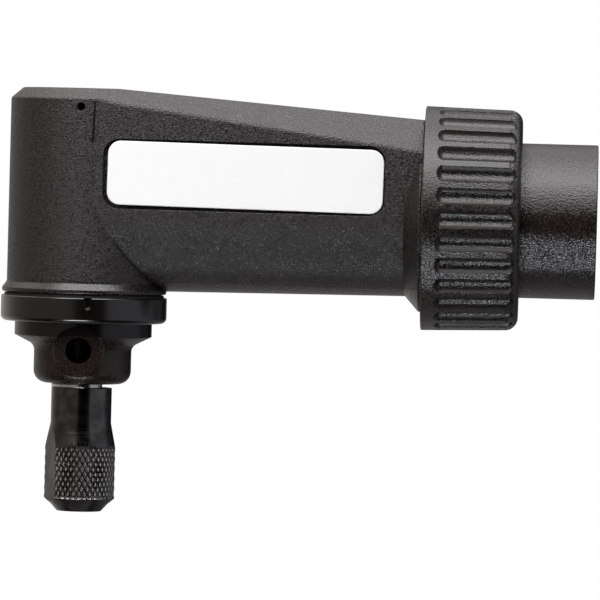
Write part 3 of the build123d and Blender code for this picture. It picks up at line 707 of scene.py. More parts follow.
def moulded(name, base, depth, rough, spread, sheen, share=None, dull=0.0):
    """Glass-filled moulded plastic: fine grain, painted bright specks that stand for glints off the
    glass fibres, and faint flow marks.

    With share, a function of the graph and the place, the grain fades where that is low, and
    the roughness changes by dull.
    """
    material, graph = new_material(name)
    place = millimetres(graph)
    fine = graph.cells(place, FIBRE_GRAIN)
    soft = graph.noise(place, FIBRE_GRAIN * 0.7)
    flow = graph.noise(place, 0.35, 3, 0.6)
    # Painted glints: bright specks in the base colour that stand for the glass fibres' glints, so they
    # show whether lit or not
    painted_glints = graph.step(graph.noise(place, FIBRE_GRAIN * 2.1, 1), 0.58, 0.72)
    mottle = graph.step(graph.noise(place, FIBRE_GRAIN * 0.8, 1), 0.36, 0.64) * 0.8
    # Tone: random patches and flow marks; the wide spread of the patches also paints part of the grain's
    # sparkle into the colour
    tone = graph.blend(mottle + graph.step(flow, 0.3, 0.7) * 0.2, rgb(base, 0.35), rgb(base, 1.75))
    shade = graph.blend(painted_glints * 0.8, tone, rgb(base, 3.6))
    gloss = mottle * spread + rough
    height = fine + soft * 0.5
    if share:
        level = share(graph, place)
        height, gloss = height * level, gloss + (1 - level) * dull
    values = {"Base Color": shade, "Roughness": gloss, "Specular IOR Level": sheen}
    surfaced(graph, values, height, depth)
    return material


def off_the_walls(graph, place):
    """One on the ring's skin and on the floors of its grooves, low on the grooves' walls."""
    x, y, z = graph.parts(place)
    sunk = RING_RADII[0] - (x - RING_START_X) * RING_TAPER - graph.distance(y, z)
    wall = graph.step(sunk, 0.03, 0.12) * graph.step(sunk, 0.70, 0.50)
    before_corner = graph.step(x, RING_END_X - 1.2, RING_END_X - 1.6)
    return 1 - wall * before_corner * 0.85


def off_the_foot(graph, place):
    """One on the housing, low on the polished flare of its foot."""
    height = graph.parts(place)[2]
    return 1 - graph.step(height, FOOT_Z + 1.9, FOOT_Z + 1.5) * 0.8


def knurl_tops(graph, radius, along):
    """One on the worn tops of the nut's knurl."""
    above = graph.step(along, KNURL_Z[0] - 0.01, KNURL_Z[0] + 0.09)
    below = graph.step(along, NUT_CONE_Z[1] + 0.05, NUT_CONE_Z[1] - 0.05)
    return graph.step(radius, NUT_RADIUS - 0.04, NUT_RADIUS - 0.02) * (above * below)


def clip_groove(graph, radius, along):
    """One in the bare groove that the clip sits in."""
    above = graph.step(along, CLIP_GROOVE_Z[0] - 0.1, CLIP_GROOVE_Z[0] - 0.05)
    return above * graph.step(along, CLIP_GROOVE_Z[1] + 0.1, CLIP_GROOVE_Z[1] + 0.05)


def turned_place(graph, upright):
    """Radius and height of a place on a turned piece, in millimetres, and the place itself."""
    place = millimetres(graph)
    x, y, z = graph.parts(place)
    if upright:
        return graph.distance(x - HEAD_X, y), z, place
    return graph.distance(y, z), x, place


def metal(name, base, rough, upright=True, marks=6.0, depth=0.004, stain=0.3, bare=None):
    """Turned metal: fine tool marks round the axis, faint stains and a little grain.

    With bare, a function of the graph, the radius and the height, bright metal shows where
    that is high.
    """
    material, graph = new_material(name)
    radius, along, place = turned_place(graph, upright)
    lines = graph.noise(graph.joined(radius, along, 0), marks, 4, 0.7, "2D")
    grain = graph.noise(place, 9.0)
    cloud = graph.clouds(place, 0.5, 4, 0.6)
    shade = graph.blend(cloud, rgb(base, 1 - stain), rgb(base, 1 + stain))
    if bare:
        shade = graph.blend(bare(graph, radius, along), shade, rgb(BARE_METAL))
    gloss = graph.step(lines, 0.3, 0.7, rough - 0.05, rough + 0.07) + cloud * 0.05
    values = {"Metallic": 1.0, "Base Color": shade, "Roughness": gloss}
    surfaced(graph, values, lines + grain * 0.3, depth)
    return material


def blackened(name, base):
    """Blackened casting: a turned and polished flange over a dull, mottled neck and boss."""
    material, graph = new_material(name)
    radius, along, place = turned_place(graph, True)
    under = graph.step(along, FLANGE_Z + 0.1, FLANGE_Z - 0.1)
    cast = graph.step(along, STEP_Z + 0.25, STEP_Z - 0.15)
    lines = graph.noise(graph.joined(radius, along, 0), 5.0, 4, 0.7, "2D")
    mottle = graph.noise(place, 2.6, 3, 0.65)
    pits = graph.cells(place, 4.2)
    dull = graph.blend(graph.step(mottle, 0.38, 0.62), rgb(base, 1.5), rgb(base, 4.0))
    shade = graph.blend(cast, rgb(base, 0.65), dull)
    gloss = graph.step(mottle, 0.35, 0.65, 0.16, 0.26) + cast * 0.06
    height = lines * (1 - cast) * 0.15 + (pits + mottle) * cast
    values = {"Base Color": shade, "Roughness": gloss, "Specular IOR Level": 0.32}
    values = {**values, "Coat Weight": 1 - under * 0.7 - cast * 0.2, "Coat Roughness": 0.2}
    surfaced(graph, values, height, 0.03)
    return material


def enamel(name, base):
    """Smooth white enamel with a faint orange peel and a trace of dust."""
    material, graph = new_material(name)
    place = millimetres(graph)
    peel = graph.noise(place, 0.9, 3)
    shade = graph.blend(graph.clouds(place, 3.0, 2, 0.5), rgb(base, 0.99), rgb(base, 1.01))
    gloss = graph.step(peel, 0.3, 0.7, 0.28, 0.36)
    surfaced(graph, {"Base Color": shade, "Roughness": gloss}, peel, 0.004)
    return material


def matt(name, base, rough):
    """Rubber or nylon: fine pores and faint cloudiness."""
    material, graph = new_material(name)
    place = millimetres(graph)
    pores = graph.cells(place, 6.0)
    shade = graph.blend(graph.clouds(place, 0.8, 3, 0.6), rgb(base, 0.85), rgb(base, 1.15))
    gloss = graph.step(pores, 0.1, 0.6, rough - 0.08, rough + 0.08)
    surfaced(graph, {"Base Color": shade, "Roughness": gloss}, pores, 0.01)
    return material


# Operators


class ATTACHMENT_OT_housing(bpy.types.Operator):
    """Makes the moulded housing: head, barrel, collar, index teeth and plate recess"""

    bl_idname = "attachment.housing"
    bl_label = "Housing"

    def execute(self, context):
        sizes = context.scene.attachment_housing
        margin = sizes.plate_margin / MM
        base = context.scene.attachment_finish.moulded
        look = {"depth": 0.075, "rough": 0.24, "spread": 0.28, "sheen": 0.60}
        finish = moulded("moulded_black", base, **look, share=off_the_foot, dull=-0.08)
        body = head_shape(sizes.edge_round / MM)
        carve(body, "UNION", barrel_shape(sizes.shoulder_round / MM), collar_shape())
        carve(body, "DIFFERENCE", above_roof())
        carve(body, "UNION", index_teeth("housing_teeth", HOUSING_END_X, 1, 0, finish))
        cuts = [recess_shape(margin, sizes.recess_lip / MM), moat_shape(margin)]
        carve(body, "DIFFERENCE", *cuts, oil_hole_shape(), seam_shape(), crease_shape())
        foot = bore("foot_cavity", FOOT_Z - 2, FOOT_BORES, OUTPUT_PLACE)
        carve(body, "DIFFERENCE", foot, bore("barrel_cavity", HEAD_X, BARREL_BORES, INPUT_PLACE))
        smoothed(body)
        settled(body, finish, "housing", "head")
        return {"FINISHED"}


def head_shape(rounding):
    flare_z = FOOT_Z + FOOT_RIM
    outline = [(0, FOOT_Z), (FOOT_RADIUS, FOOT_Z, 0.3), (FOOT_RADIUS, flare_z, 0.2)]
    outline += [(HEAD_RADIUS, flare_z + FOOT_FLARE, 0.7)]
    outline += [(HEAD_RADIUS, HEAD_TOP_Z - HEAD_BEVEL[1], rounding)]
    outline += [(HEAD_RADIUS - HEAD_BEVEL[0], HEAD_TOP_Z, rounding), (0, HEAD_TOP_Z)]
    return turned("housing_shell", rounded(outline), OUTPUT_PLACE)


def barrel_section(x, shoulder_round):
    """Closed section of the barrel: oval belly, flat sides, bevelled shoulders, flat roof."""
    share = (x - HEAD_X) / (COLLAR_END_X - HEAD_X)
    belly, shoulder, roof = (a + (b - a) * share for a, b in (BELLY_DEPTH, SHOULDER_Z, ROOF_Z))
    roof = min(roof, HEAD_TOP_Z)
    half = []
    for i in range(65):
        angle = pi / 2 * i / 64
        half.append((HALF_WIDTH * sin(angle), -belly * cos(angle)))
    side, edge = Vector((HALF_WIDTH, shoulder)), Vector((HALF_WIDTH - roof + shoulder, roof))
    half += corner_arc(Vector((HALF_WIDTH, 0)), side, edge, shoulder_round, 6)
    half += corner_arc(side, edge, Vector((0, roof)), shoulder_round / 2, 6)
    mirrored = [(-y, z) for y, z in reversed(half[1:])]
    return [(x, y, z) for y, z in half + mirrored]


def barrel_shape(shoulder_round):
    """Barrel from the head's axis to the collar, with sections close to the roof's bend."""
    slope_x = LEVEL_END_X + 0.4
    places = [HEAD_X, LEVEL_END_X - 0.4]
    places += [slope_x + (COLLAR_END_X - slope_x) * i / 12 for i in range(13)]
    return lofted("barrel", [barrel_section(x, shoulder_round) for x in places])


def above_roof():
    """The space above the sloping roof, to trim the flat top of the head."""
    lift, top, half = 0.004, HEAD_TOP_Z + 2, 13.0
    end = COLLAR_END_X - 1.0
    corners = [(LEVEL_END_X, HEAD_TOP_Z), (end, HEAD_TOP_Z + ROOF_SLOPE * (end - LEVEL_END_X))]
    corners += [(end, top), (LEVEL_END_X, top)]
    return lofted("above_roof", [[(x, y, z + lift) for x, z in corners] for y in (-half, half)])


def collar_shape():
    outline = [(0, COLLAR_START[1]), COLLAR_START, (COLLAR_RADIUS, COLLAR_END_X, 0.2)]
    outline += [(THREAD_RADIUS, COLLAR_END_X), (THREAD_RADIUS, HOUSING_END_X), (0, HOUSING_END_X)]
    return turned("collar", rounded(outline), INPUT_PLACE)


def index_teeth(name, root_x, direction, first_turn, material):
    """Radial teeth on a face, repeated round the input axis."""
    root, tip = root_x - direction * TOOTH_SUNK, root_x + direction * TOOTH_HEIGHT
    wide, narrow = TOOTH_HALVES
    corners = [(-wide, root), (wide, root), (narrow, tip), (-narrow, tip)]
    teeth = lofted(name, [[(radius, y, x) for y, x in corners] for radius in TEETH_RADII])
    grown(teeth, repeat_tree(), count=TEETH, merge_distance=0.0, material=material)
    return put(teeth, INPUT_PLACE @ Matrix.Rotation(radians(first_turn), 4, "Z"))


def rounded_rectangle(size, corner, grow, steps=8):
    """Outline of a rounded rectangle, made larger all round."""
    half_x, half_y, radius = size[0] / 2 + grow, size[1] / 2 + grow, corner + grow
    points = []
    for i, (x, y) in enumerate(((1, 1), (-1, 1), (-1, -1), (1, -1))):
        for j in range(steps + 1):
            angle = pi / 2 * (i + j / steps)
            across = x * (half_x - radius) + radius * cos(angle)
            points.append((across, y * (half_y - radius) + radius * sin(angle)))
    return points


def plate_place():
    """Place of the plate: its own axes are along, up and out of the barrel's near side."""
    lean = Matrix.Rotation(PLATE_TILT, 4, "Y")
    stand = Matrix(((1, 0, 0, 0), (0, 0, -1, 0), (0, 1, 0, 0), (0, 0, 0, 1)))
    return Matrix.Translation((PLATE_MIDDLE[0], -HALF_WIDTH, PLATE_MIDDLE[1])) @ lean @ stand


def plate_layers(name, layers, seat=Matrix()):
    """Solid through rounded rectangles, one for each (height, growth)."""
    sections = []
    for height, grow in layers:
        outline = rounded_rectangle(PLATE_SIZE, PLATE_CORNER, grow)
        sections.append([(x, y, height) for x, y in outline])
    return lofted(name, sections, plate_place() @ seat)


def rim_layers(radius, grow, side):
    """Layers of a rim rounded up to the face: side is 1 where it widens, -1 where it narrows."""
    angles = [pi / 2 * i / 6 for i in range(7)]
    return [(radius * (sin(angle) - 1), grow + side * radius * (1 - cos(angle))) for angle in angles]


def recess_shape(margin, lip):
    layers = [(-PLATE_DEPTH, margin), *rim_layers(lip, margin, 1), (2, margin + lip)]
    return plate_layers("recess", layers, RECESS_SEAT)


def moat_shape(margin):
    """Deep dark groove round the seat of the plate."""
    moat = plate_layers("moat", [(-MOAT_DEPTH, margin), (-0.2, margin)], RECESS_SEAT)
    return carve(moat, "DIFFERENCE", plate_layers("seat", [(-2, -0.3), (1, -0.3)]))


def oil_hole_shape():
    """Oil hole with its chamfered rim, to cut into the head's front."""
    wide, top = OIL_HOLE_RADIUS + OIL_HOLE_CHAMFER, HEAD_RADIUS + 1
    outline = [(0, 0), (OIL_HOLE_RADIUS, 0), (OIL_HOLE_RADIUS, HEAD_RADIUS - OIL_HOLE_CHAMFER)]
    outline += [(wide, HEAD_RADIUS), (wide, top), (0, top)]
    return turned("oil_hole", outline, pointing(OIL_HOLE, FRONT), HOLE_STEPS)


def seam_shape():
    """Fine uneven seam where the head's round wall runs into the barrel's flat side."""
    meeting = HEAD_X + sqrt(HEAD_RADIUS**2 - HALF_WIDTH**2)
    bottom, out = -HALF_WIDTH + SEAM_DEPTH, -HALF_WIDTH - 0.4
    sections = []
    for z, shift, half in SEAM:
        x = meeting + shift
        sections.append([(x - half, out, z), (x, bottom, z), (x + half, out, z)])
    return lofted("seam", sections)


def crease_shape():
    """Fine groove where the barrel's belly runs into the head."""
    out = 0.4
    wide = CREASE_HALF * (CREASE_DEPTH + out) / CREASE_DEPTH

    def spot(angle):
        y, z = -HALF_WIDTH * sin(angle), -(BELLY_DEPTH[0] - 0.08) * cos(angle)
        return Vector((HEAD_X + sqrt(HEAD_RADIUS**2 - y * y), y, z))

    sections = []
    first, last = CREASE_ANGLES
    for i in range(25):
        angle = radians(first + (last - first) * i / 24)
        at = spot(angle)
        along = (spot(angle - 0.01) - spot(angle + 0.01)).normalized()
        head = Vector((at.x - HEAD_X, at.y, 0)).normalized()
        belly = Vector((0, -sin(angle) * BELLY_DEPTH[0], -cos(angle) * HALF_WIDTH)).normalized()
        outward = (head + belly).normalized()
        side = along.cross(outward).normalized() * wide
        lips = at + outward * out
        sections.append([lips + side, at - outward * CREASE_DEPTH, lips - side])
    return lofted("crease", sections)


class ATTACHMENT_OT_plate(bpy.types.Operator):
    """Makes the bare white plate in the barrel's recess"""

    bl_idname = "attachment.plate"
    bl_label = "Bare plate"

    def execute(self, context):
        edge = context.scene.attachment_housing.plate_edge / MM
        layers = [(-PLATE_DEPTH + 0.005, 0), *rim_layers(edge, 0, -1)]
        plate = smoothed(plate_layers("plate_face", layers))
        finish = enamel("plate_white", context.scene.attachment_finish.plate)
        settled(plate, finish, "name_plate", "head")
        return {"FINISHED"}


class ATTACHMENT_OT_cap(bpy.types.Operator):
    """Makes the bearing cap with its flange, boss, lock hole and spanner notches"""

    bl_idname = "attachment.cap"
    bl_label = "Bearing cap"

    def execute(self, context):
        outline = [(0, NECK_END_Z), (NECK_RADIUS, NECK_END_Z, 1.8), (NECK_RADIUS, NECK_TOP_Z, 1.3)]
        outline += [(STEP_RADIUS, STEP_Z, 0.15), (STEP_RADIUS, FLANGE_Z)]
        outline += [(FLANGE_RADIUS, FLANGE_Z, 0.8), (FLANGE_RADIUS, CAP_TOP_Z, 0.22)]
        outline += [(SPIGOT_RADIUS, CAP_TOP_Z), (SPIGOT_RADIUS, SPIGOT_TOP_Z), (0, SPIGOT_TOP_Z)]
        body = turned("cap_body", rounded(outline), OUTPUT_PLACE)
        carve(body, "UNION", boss_shape())
        face_start = (HEAD_X, BOSS_FACE_Y, PIN_HOLE_Z)
        carve(body, "DIFFERENCE", rod("boss_face", face_start, FRONT, BOSS_FACE_RADIUS, 8))
        carve(body, "DIFFERENCE", bore("cap_cavity", NECK_END_Z - 2, CAP_BORES, OUTPUT_PLACE))
        hole = rod("pin_hole", (HEAD_X, 0, PIN_HOLE_Z), FRONT, PIN_HOLE_RADIUS, 14)
        carve(body, "DIFFERENCE", hole, *(notch_shape(side) for side in (0, pi)))
        smoothed(body)
        finish = blackened("blackened_alloy", context.scene.attachment_finish.blackened)
        settled(body, finish, "bearing_cap", "head")
        return {"FINISHED"}


def boss_shape():
    side, end = (BOSS_RADIUS, BOSS_REACH - BOSS_CHAMFER), (BOSS_RADIUS - BOSS_CHAMFER, BOSS_REACH)
    outline = [(0, 0), (BOSS_RADIUS, 0), side, end, (0, BOSS_REACH)]
    return turned("boss", outline, pointing((HEAD_X, 0, PIN_HOLE_Z), FRONT), ROD_STEPS)


def notch_shape(side):
    """Round-ended spanner notch that comes down from the flange's upper edge."""
    top, bottom = CAP_TOP_Z + 2, CAP_TOP_Z - NOTCH_DEPTH + NOTCH_ROUND

    def section(reach, half):
        points = [(half, reach, top), (-half, reach, top)]
        for i in range(13):
            angle = pi + pi * i / 12
            points.append((half * cos(angle), reach, bottom + half * sin(angle)))
        return points

    near, far = section(-10.9, 0.30), section(-13.0, 1.05)
    place = OUTPUT_PLACE @ Matrix.Rotation(NOTCH_TURN + side, 4, "Z")
    return lofted("notch", [near, far], place)


class ATTACHMENT_OT_ring(bpy.types.Operator):
    """Makes the coupling ring from one sector of its grip, repeated round the input axis"""

    bl_idname = "attachment.ring"
    bl_label = "Coupling ring"

    def execute(self, context):
        sizes = context.scene.attachment_ring
        base = context.scene.attachment_finish.ring
        look = {"depth": 0.045, "rough": 0.16, "spread": 0.22, "sheen": 0.58}
        finish = moulded("ring_black", base, **look, share=off_the_walls, dull=0.3)
        limit = pi / sizes.groove_count
        # Places across half a sector, closest together on the groove's wall
        shares = (0, 0.14, 0.26, 0.34, 0.42, 0.5, 0.58, 0.64, 0.69, 0.74, 0.8, 0.88, 1)
        across = [limit * share for share in shares]
        angles = [limit - a for a in reversed(across)] + [limit + a for a in across[1:]]
        outline, shape = ring_outline(sizes.corner / MM), grip_groove(sizes, limit)
        sector = turned("grip_ring", outline, Matrix(), angles=angles, shape=shape)
        values = {"count": sizes.groove_count, "merge_distance": MERGE_DISTANCE}
        grown(sector, repeat_tree(), **values, material=finish)
        put(sector, INPUT_PLACE @ Matrix.Rotation(-limit, 4, "Z"))
        smoothed(sector, radians(40))
        settled(sector, finish, "coupling_ring", "coupling_ring")
        return {"FINISHED"}


def grip_groove(sizes, middle):
    """Function that sinks the ring's skin into a groove along it, hollow as an arc."""
    half, depth, lip = sizes.groove_width / MM / 2, sizes.groove_depth / MM, sizes.groove_lip / MM
    blunt = GROOVE_BLUNTNESS
    arc = (half * half + depth * depth) / (2 * depth)
    start, end = GROOVES_X[0] + half / blunt, GROOVES_X[1] - half / blunt

    def sunk(radius, along, angle):
        if radius < RING_BORE_RADIUS + 0.7:
            return radius
        across = radius * (angle - middle)
        beyond = max(start - along, along - end, 0) * blunt
        apart = min(hypot(across, beyond), arc)
        return radius - soft_step(sqrt(arc * arc - apart * apart) - arc + depth, lip)

    return sunk


def soft_step(value, lip):
    """A value kept above zero, with a soft corner where it meets zero."""
    if value <= -lip:
        return 0.0
    return (value + lip) ** 2 / (4 * lip) if value < lip else value


def ring_outline(corner):
    """Outline of the ring, with fine rows where its grooves begin and end."""

    def at(x):
        return (RING_RADII[0] - (x - RING_START_X) * RING_TAPER, x)

    start = (RING_BORE_RADIUS, RING_START_X)
    outline = [start, *corner_arc(Vector(start), Vector(at(RING_START_X)), Vector(at(-20)), 0.2)]
    outline += [at(x) for x in (-23.9, -23.4, -22.9)]
    outline += rows(at(-22.7), at(-21.1), 14)
    outline += rows(at(-20.6), at(-13.6), 7)
    outline += rows(at(-13.2), at(-12.15), 9)
    outer_face = (Vector(at(-14)), Vector(at(RING_END_X)), Vector((LIP_RADIUS, RING_END_X)))
    outline += corner_arc(*outer_face, corner, 16)
    outline += [(LIP_RADIUS + 0.15, RING_END_X), (LIP_RADIUS, RING_END_X - 0.15)]
    outline += [(LIP_RADIUS, LIP_X), (RING_BORE_RADIUS, LIP_X)]
    return outline


class ATTACHMENT_OT_sleeve(bpy.types.Operator):
    """Makes the sleeve that screws on the tool, with its cut thread and index teeth"""

    bl_idname = "attachment.sleeve"
    bl_label = "Tool sleeve"

    def execute(self, context):
        sizes = context.scene.attachment_thread
        base = context.scene.attachment_finish.sleeve
        finish = moulded("sleeve_black", base, depth=0.048, rough=0.12, spread=0.22, sheen=0.58)
        near, far = SLEEVE_FLANGE_X
        outline = [(TOOL_THREAD_RADIUS, -0.5)]
        outline += rounded([(8.9, 0), (SLEEVE_RADIUS, 0, 0.18), (SLEEVE_RADIUS, near)])
        outline += [(SLEEVE_FLANGE_RADIUS, near), (SLEEVE_FLANGE_RADIUS, far), (PILOT_RADIUS, far)]
        outline += [(PILOT_RADIUS, PILOT_END_X), (8.2, PILOT_END_X), (8.2, -9.9)]
        outline += rows((TOOL_THREAD_RADIUS, -9.6), (TOOL_THREAD_RADIUS, -0.62), 76)
        body = turned("sleeve_body", outline, Matrix(), SLEEVE_STEPS)
        reach = {"radius": TOOL_THREAD_RADIUS, "start": -9.5, "end": 1.2, "crest": 0.25}
        threaded(body, sizes.tool_pitch, sizes.tool_depth, **reach, material=finish)
        put(body, INPUT_PLACE)
        carve(body, "UNION", index_teeth("sleeve_teeth", far, -1, 15, finish))
        smoothed(body, THREAD_SHARP_ANGLE)
        settled(body, finish, "tool_sleeve", "tool_sleeve")
        return {"FINISHED"}


class ATTACHMENT_OT_spindle(bpy.types.Operator):
    """Makes the output spindle with its fine thread and cross hole"""

    bl_idname = "attachment.spindle"
    bl_label = "Output spindle"

    def execute(self, context):
        sizes = context.scene.attachment_thread
        base = context.scene.attachment_finish.nut
        # Painted shade: the spindle gets the blued steel's colour at 0.12, so that it reads dark inside
        # the cap's lock hole
        finish = metal("blackened_steel", rgb(base, 0.12), 0.2, bare=clip_groove)
        body = turned("spindle_body", spindle_outline(), Matrix(), ROD_STEPS)
        reach = {"radius": SPINDLE_RADIUS, "start": -39.0, "end": -25.3, "crest": 0.2}
        threaded(body, sizes.spindle_pitch, -sizes.spindle_depth, **reach, material=finish)
        put(body, OUTPUT_PLACE)
        across = Vector((sin(CROSS_HOLE_TURN), -cos(CROSS_HOLE_TURN), 0))
        start = Vector((HEAD_X, 0, PIN_HOLE_Z)) - 8 * across
        carve(body, "DIFFERENCE", rod("cross_hole", start, across, CROSS_HOLE_RADIUS, 16))
        smoothed(body, THREAD_SHARP_ANGLE)
        settled(body, finish, "output_spindle", "output_spindle")
        return {"FINISHED"}


def spindle_outline():
    skin, (low, high) = SPINDLE_RADIUS, CLIP_GROOVE_Z
    # Bore with its drill point, the collet's cone and the mouth
    outline = [(0, -21.475), (2.25, -22.6), (2.25, -37.6), (2.75, SPINDLE_END_Z)]
    outline += [(3.17, SPINDLE_END_Z), (skin, -38.8)]
    # Skin for the thread, and the clip's groove
    outline += rows((skin, -38.7), (skin, low - 0.1), 210)
    outline += [(skin, low), (CLIP_GROOVE_RADIUS, low), (CLIP_GROOVE_RADIUS, high), (skin, high)]
    # Collar, the bearing's seat, the circlip's groove, the gear's seat and the tail
    outline += [(skin, -23.6), (4.8, -23.6), (4.8, -16.4), (3.5, -16.4), (3.5, -11.4)]
    outline += [(3.1, -11.4), (3.1, -10.95), (3.5, -10.95), (3.5, -10.2), (2.5, -10.2)]
    return outline + [(2.5, 13.5), (2.2, 13.8), (0, 13.8)]


class ATTACHMENT_OT_nut(bpy.types.Operator):
    """Makes the collet nut from one knurled sector, then cuts its two flats"""

    bl_idname = "attachment.nut"
    bl_label = "Collet nut"

    def execute(self, context):
        sizes = context.scene.attachment_nut
        base = context.scene.attachment_finish.nut
        finish = metal("nut_blued", base, 0.15, marks=7.0, depth=0.002, bare=knurl_tops)
        pitch = 2 * pi / sizes.knurl_count
        row, depth = sizes.knurl_row / MM, sizes.knurl_depth / MM
        low, high = KNURL_Z
        top_share = 0.62

        def knurl(radius, along, angle):
            if radius < NUT_NECK_RADIUS + 0.015 or not low < along < high:
                return radius
            column, level = angle / (pitch / 2), (along - low) / row
            ridges = (abs((column + side * level) % 2 - 1) for side in (1, -1))
            peak = min(min(ridges) / top_share, 1)
            return min(radius, NUT_RADIUS - depth + depth * peak)

        angles = [pitch * i / 8 for i in range(9)]
        body = turned("nut_body", nut_outline(), Matrix(), angles=angles, shape=knurl)
        values = {"count": sizes.knurl_count, "merge_distance": MERGE_DISTANCE}
        grown(body, repeat_tree(), **values, material=finish)
        put(body, OUTPUT_PLACE)
        place = Matrix.Translation((HEAD_X, 0, (NUT_TOP_Z + NUT_END_Z) / 2))
        place = place @ Matrix.Rotation(-sizes.flats_turn, 4, "Z")
        carve(body, "INTERSECT", block("flats", (20, sizes.flats / MM, 30), place))
        smoothed(body, radians(20))
        settled(body, finish, "collet_nut", "collet_nut")
        return {"FINISHED"}


def nut_outline():
    """Outline of the nut: neck, cone, fine rows for the knurl, nose and stepped bore."""
    cone_start, cone_end = NUT_CONE_Z
    low, high = KNURL_Z

    def cone(z):
        share = (cone_start - z) / (cone_start - cone_end)
        return (NUT_NECK_RADIUS + (NUT_RADIUS - NUT_NECK_RADIUS) * share, z)

    neck = [(NUT_BORE_RADIUS, NUT_TOP_Z), (NUT_NECK_RADIUS, NUT_TOP_Z, 0.1), cone(cone_start)]
    outline = rounded(neck)
    outline += [cone(-31.5), cone(-32.6)]
    outline += rows(cone(high + 0.02), cone(cone_end), 3)
    outline += rows((NUT_RADIUS, cone_end - 0.02), (NUT_RADIUS, low + 0.2), 48)
    nose = (3.15, NUT_END_Z)
    outline += rounded([(NUT_RADIUS, low), (NUT_RADIUS, NUT_END_Z + 1.8, 0.1), nose])[1:-1]
    outline += rows((4.0, -41.856), nose, 2)
    outline += [(2.15, NUT_END_Z), (2.15, -41.7), (3.0, -40.15), (3.0, -39.5)]
    return outline + [(NUT_BORE_RADIUS, -39.5)]


class ATTACHMENT_OT_collet(bpy.types.Operator):
    """Makes the slotted collet"""

    bl_idname = "attachment.collet"
    bl_label = "Collet"

    def execute(self, context):
        inner, tail, slot_height = 1.6, 2.2, 13
        outline = [(inner, -26.8), (tail, -26.8), (tail, -37.55), (2.7, SPINDLE_END_Z)]
        outline += [(2.95, -39.5), (2.95, -40.1), (tail, COLLET_END_Z), (inner, COLLET_END_Z)]
        body = turned("collet_body", outline, OUTPUT_PLACE, ROD_STEPS)
        middle = Matrix.Translation((HEAD_X, 0, COLLET_END_Z - 2 + slot_height / 2))
        for angle in (0, pi / 2):
            place = middle @ Matrix.Rotation(angle, 4, "Z")
            carve(body, "DIFFERENCE", block("slot", (20, COLLET_SLOT_WIDTH, slot_height), place))
        smoothed(body)
        finish = metal("collet_steel", context.scene.attachment_finish.bright, 0.28, stain=0.12)
        settled(body, finish, "collet", "collet")
        return {"FINISHED"}


class ATTACHMENT_OT_clip(bpy.types.Operator):
    """Makes the bright crescent clip between the cap and the nut"""

    bl_idname = "attachment.clip"
    bl_label = "Retaining clip"

    def execute(self, context):
        play = 0.01
        inner, low, high = CLIP_GROOVE_RADIUS + play, CLIP_GROOVE_Z[0] + play, CLIP_GROOVE_Z[1] - play
        outline = [(inner, low), (CLIP_RADIUS, low, 0.06), (CLIP_RADIUS, high, 0.06), (inner, high)]
        body = turned("clip_body", rounded(outline), OUTPUT_PLACE, PLAIN_STEPS)
        place = Matrix.Translation((HEAD_X + CLIP_MOUTH + CLIP_RADIUS, 0, -25))
        carve(body, "DIFFERENCE", block("clip_mouth", (2 * CLIP_RADIUS, 20, 4), place))
        smoothed(body)
        finish = metal("clip_steel", context.scene.attachment_finish.bright, 0.12, stain=0.15)
        settled(body, finish, "retaining_clip", "output_spindle")
        return {"FINISHED"}


class ATTACHMENT_OT_inner(bpy.types.Operator):
    """Gives the shafts, gears, bearings, bushes and washers inside their finishes"""

    bl_idname = "attachment.inner"
    bl_label = "Inner pieces"

    def execute(self, context):
        colours = context.scene.attachment_finish
        metals = {
            "bright_steel": ("bright_steel", colours.bright, 0.25, {"stain": 0.1}),
            "blackened_steel": ("blackened_shaft", colours.nut, 0.28, {}),
            "bearing_steel": ("bearing_steel", BEARING_STEEL, 0.16, {"stain": 0.05}),
            "gear_steel": ("gear_steel", GEAR_STEEL, 0.34, {"depth": 0.006}),
            "bronze": ("bronze", colours.bronze, 0.33, {}),
        }
        nylon = matt("cage_nylon", CAGE_NYLON, 0.5)
        rubber = matt("gasket_rubber", GASKET_RUBBER, 0.6)
        slots = {"cage_plastic": (nylon, nylon), "gasket_rubber": (rubber, rubber)}
        for slot, (name, base, rough, other) in metals.items():
            lying = metal(name, base, rough, False, **other)
            slots[slot] = (lying, metal(name + "_upright", base, rough, True, **other))
        for name, node in frame["nodes"].items():
            if name in REBUILT:
                continue
            lying, standing = slots[slot_of(name)]
            low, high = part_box(name)
            stands = (low.x + high.x) / 2 < (HEAD_X + 1.0) * MM
            dress(node, standing if stands else lying)
        return {"FINISHED"}


REBUILT = (
    "housing",
    "name_plate",
    "bearing_cap",
    "coupling_ring",
    "tool_sleeve",
    "output_spindle",
    "collet_nut",
    "collet",
    "retaining_clip",
)


def slot_of(name):
    """The record's material slot of a CAD node."""
    for row in frame["record"]["subparts"]:
        if row["node"] == name:
            return row["material_slot"]
    raise RuntimeError(f"no slot for {name}")


def dress(node, material):
    """Gives a CAD node its material, and smooth shading through plain modifiers."""
    node.data.materials.clear()
    node.data.materials.append(material)
    node.data.shade_smooth()
    weld = node.modifiers.new("weld", "WELD")
    weld.merge_threshold = 1e-6
    split = node.modifiers.new("split", "EDGE_SPLIT")
    split.split_angle = radians(30)


class ATTACHMENT_OT_stage(bpy.types.Operator):
    """Makes the floor, the lights, the backdrop and the camera"""

    bl_idname = "attachment.stage"
    bl_label = "Stage"

    def execute(self, context):
        sizes = context.scene.attachment_stage
        scene = context.scene
        scene.view_settings.view_transform = "Standard"
        make_floor(sizes)
        make_world(scene, sizes)
        make_lights(sizes)
        make_camera(scene, sizes)
        return {"FINISHED"}


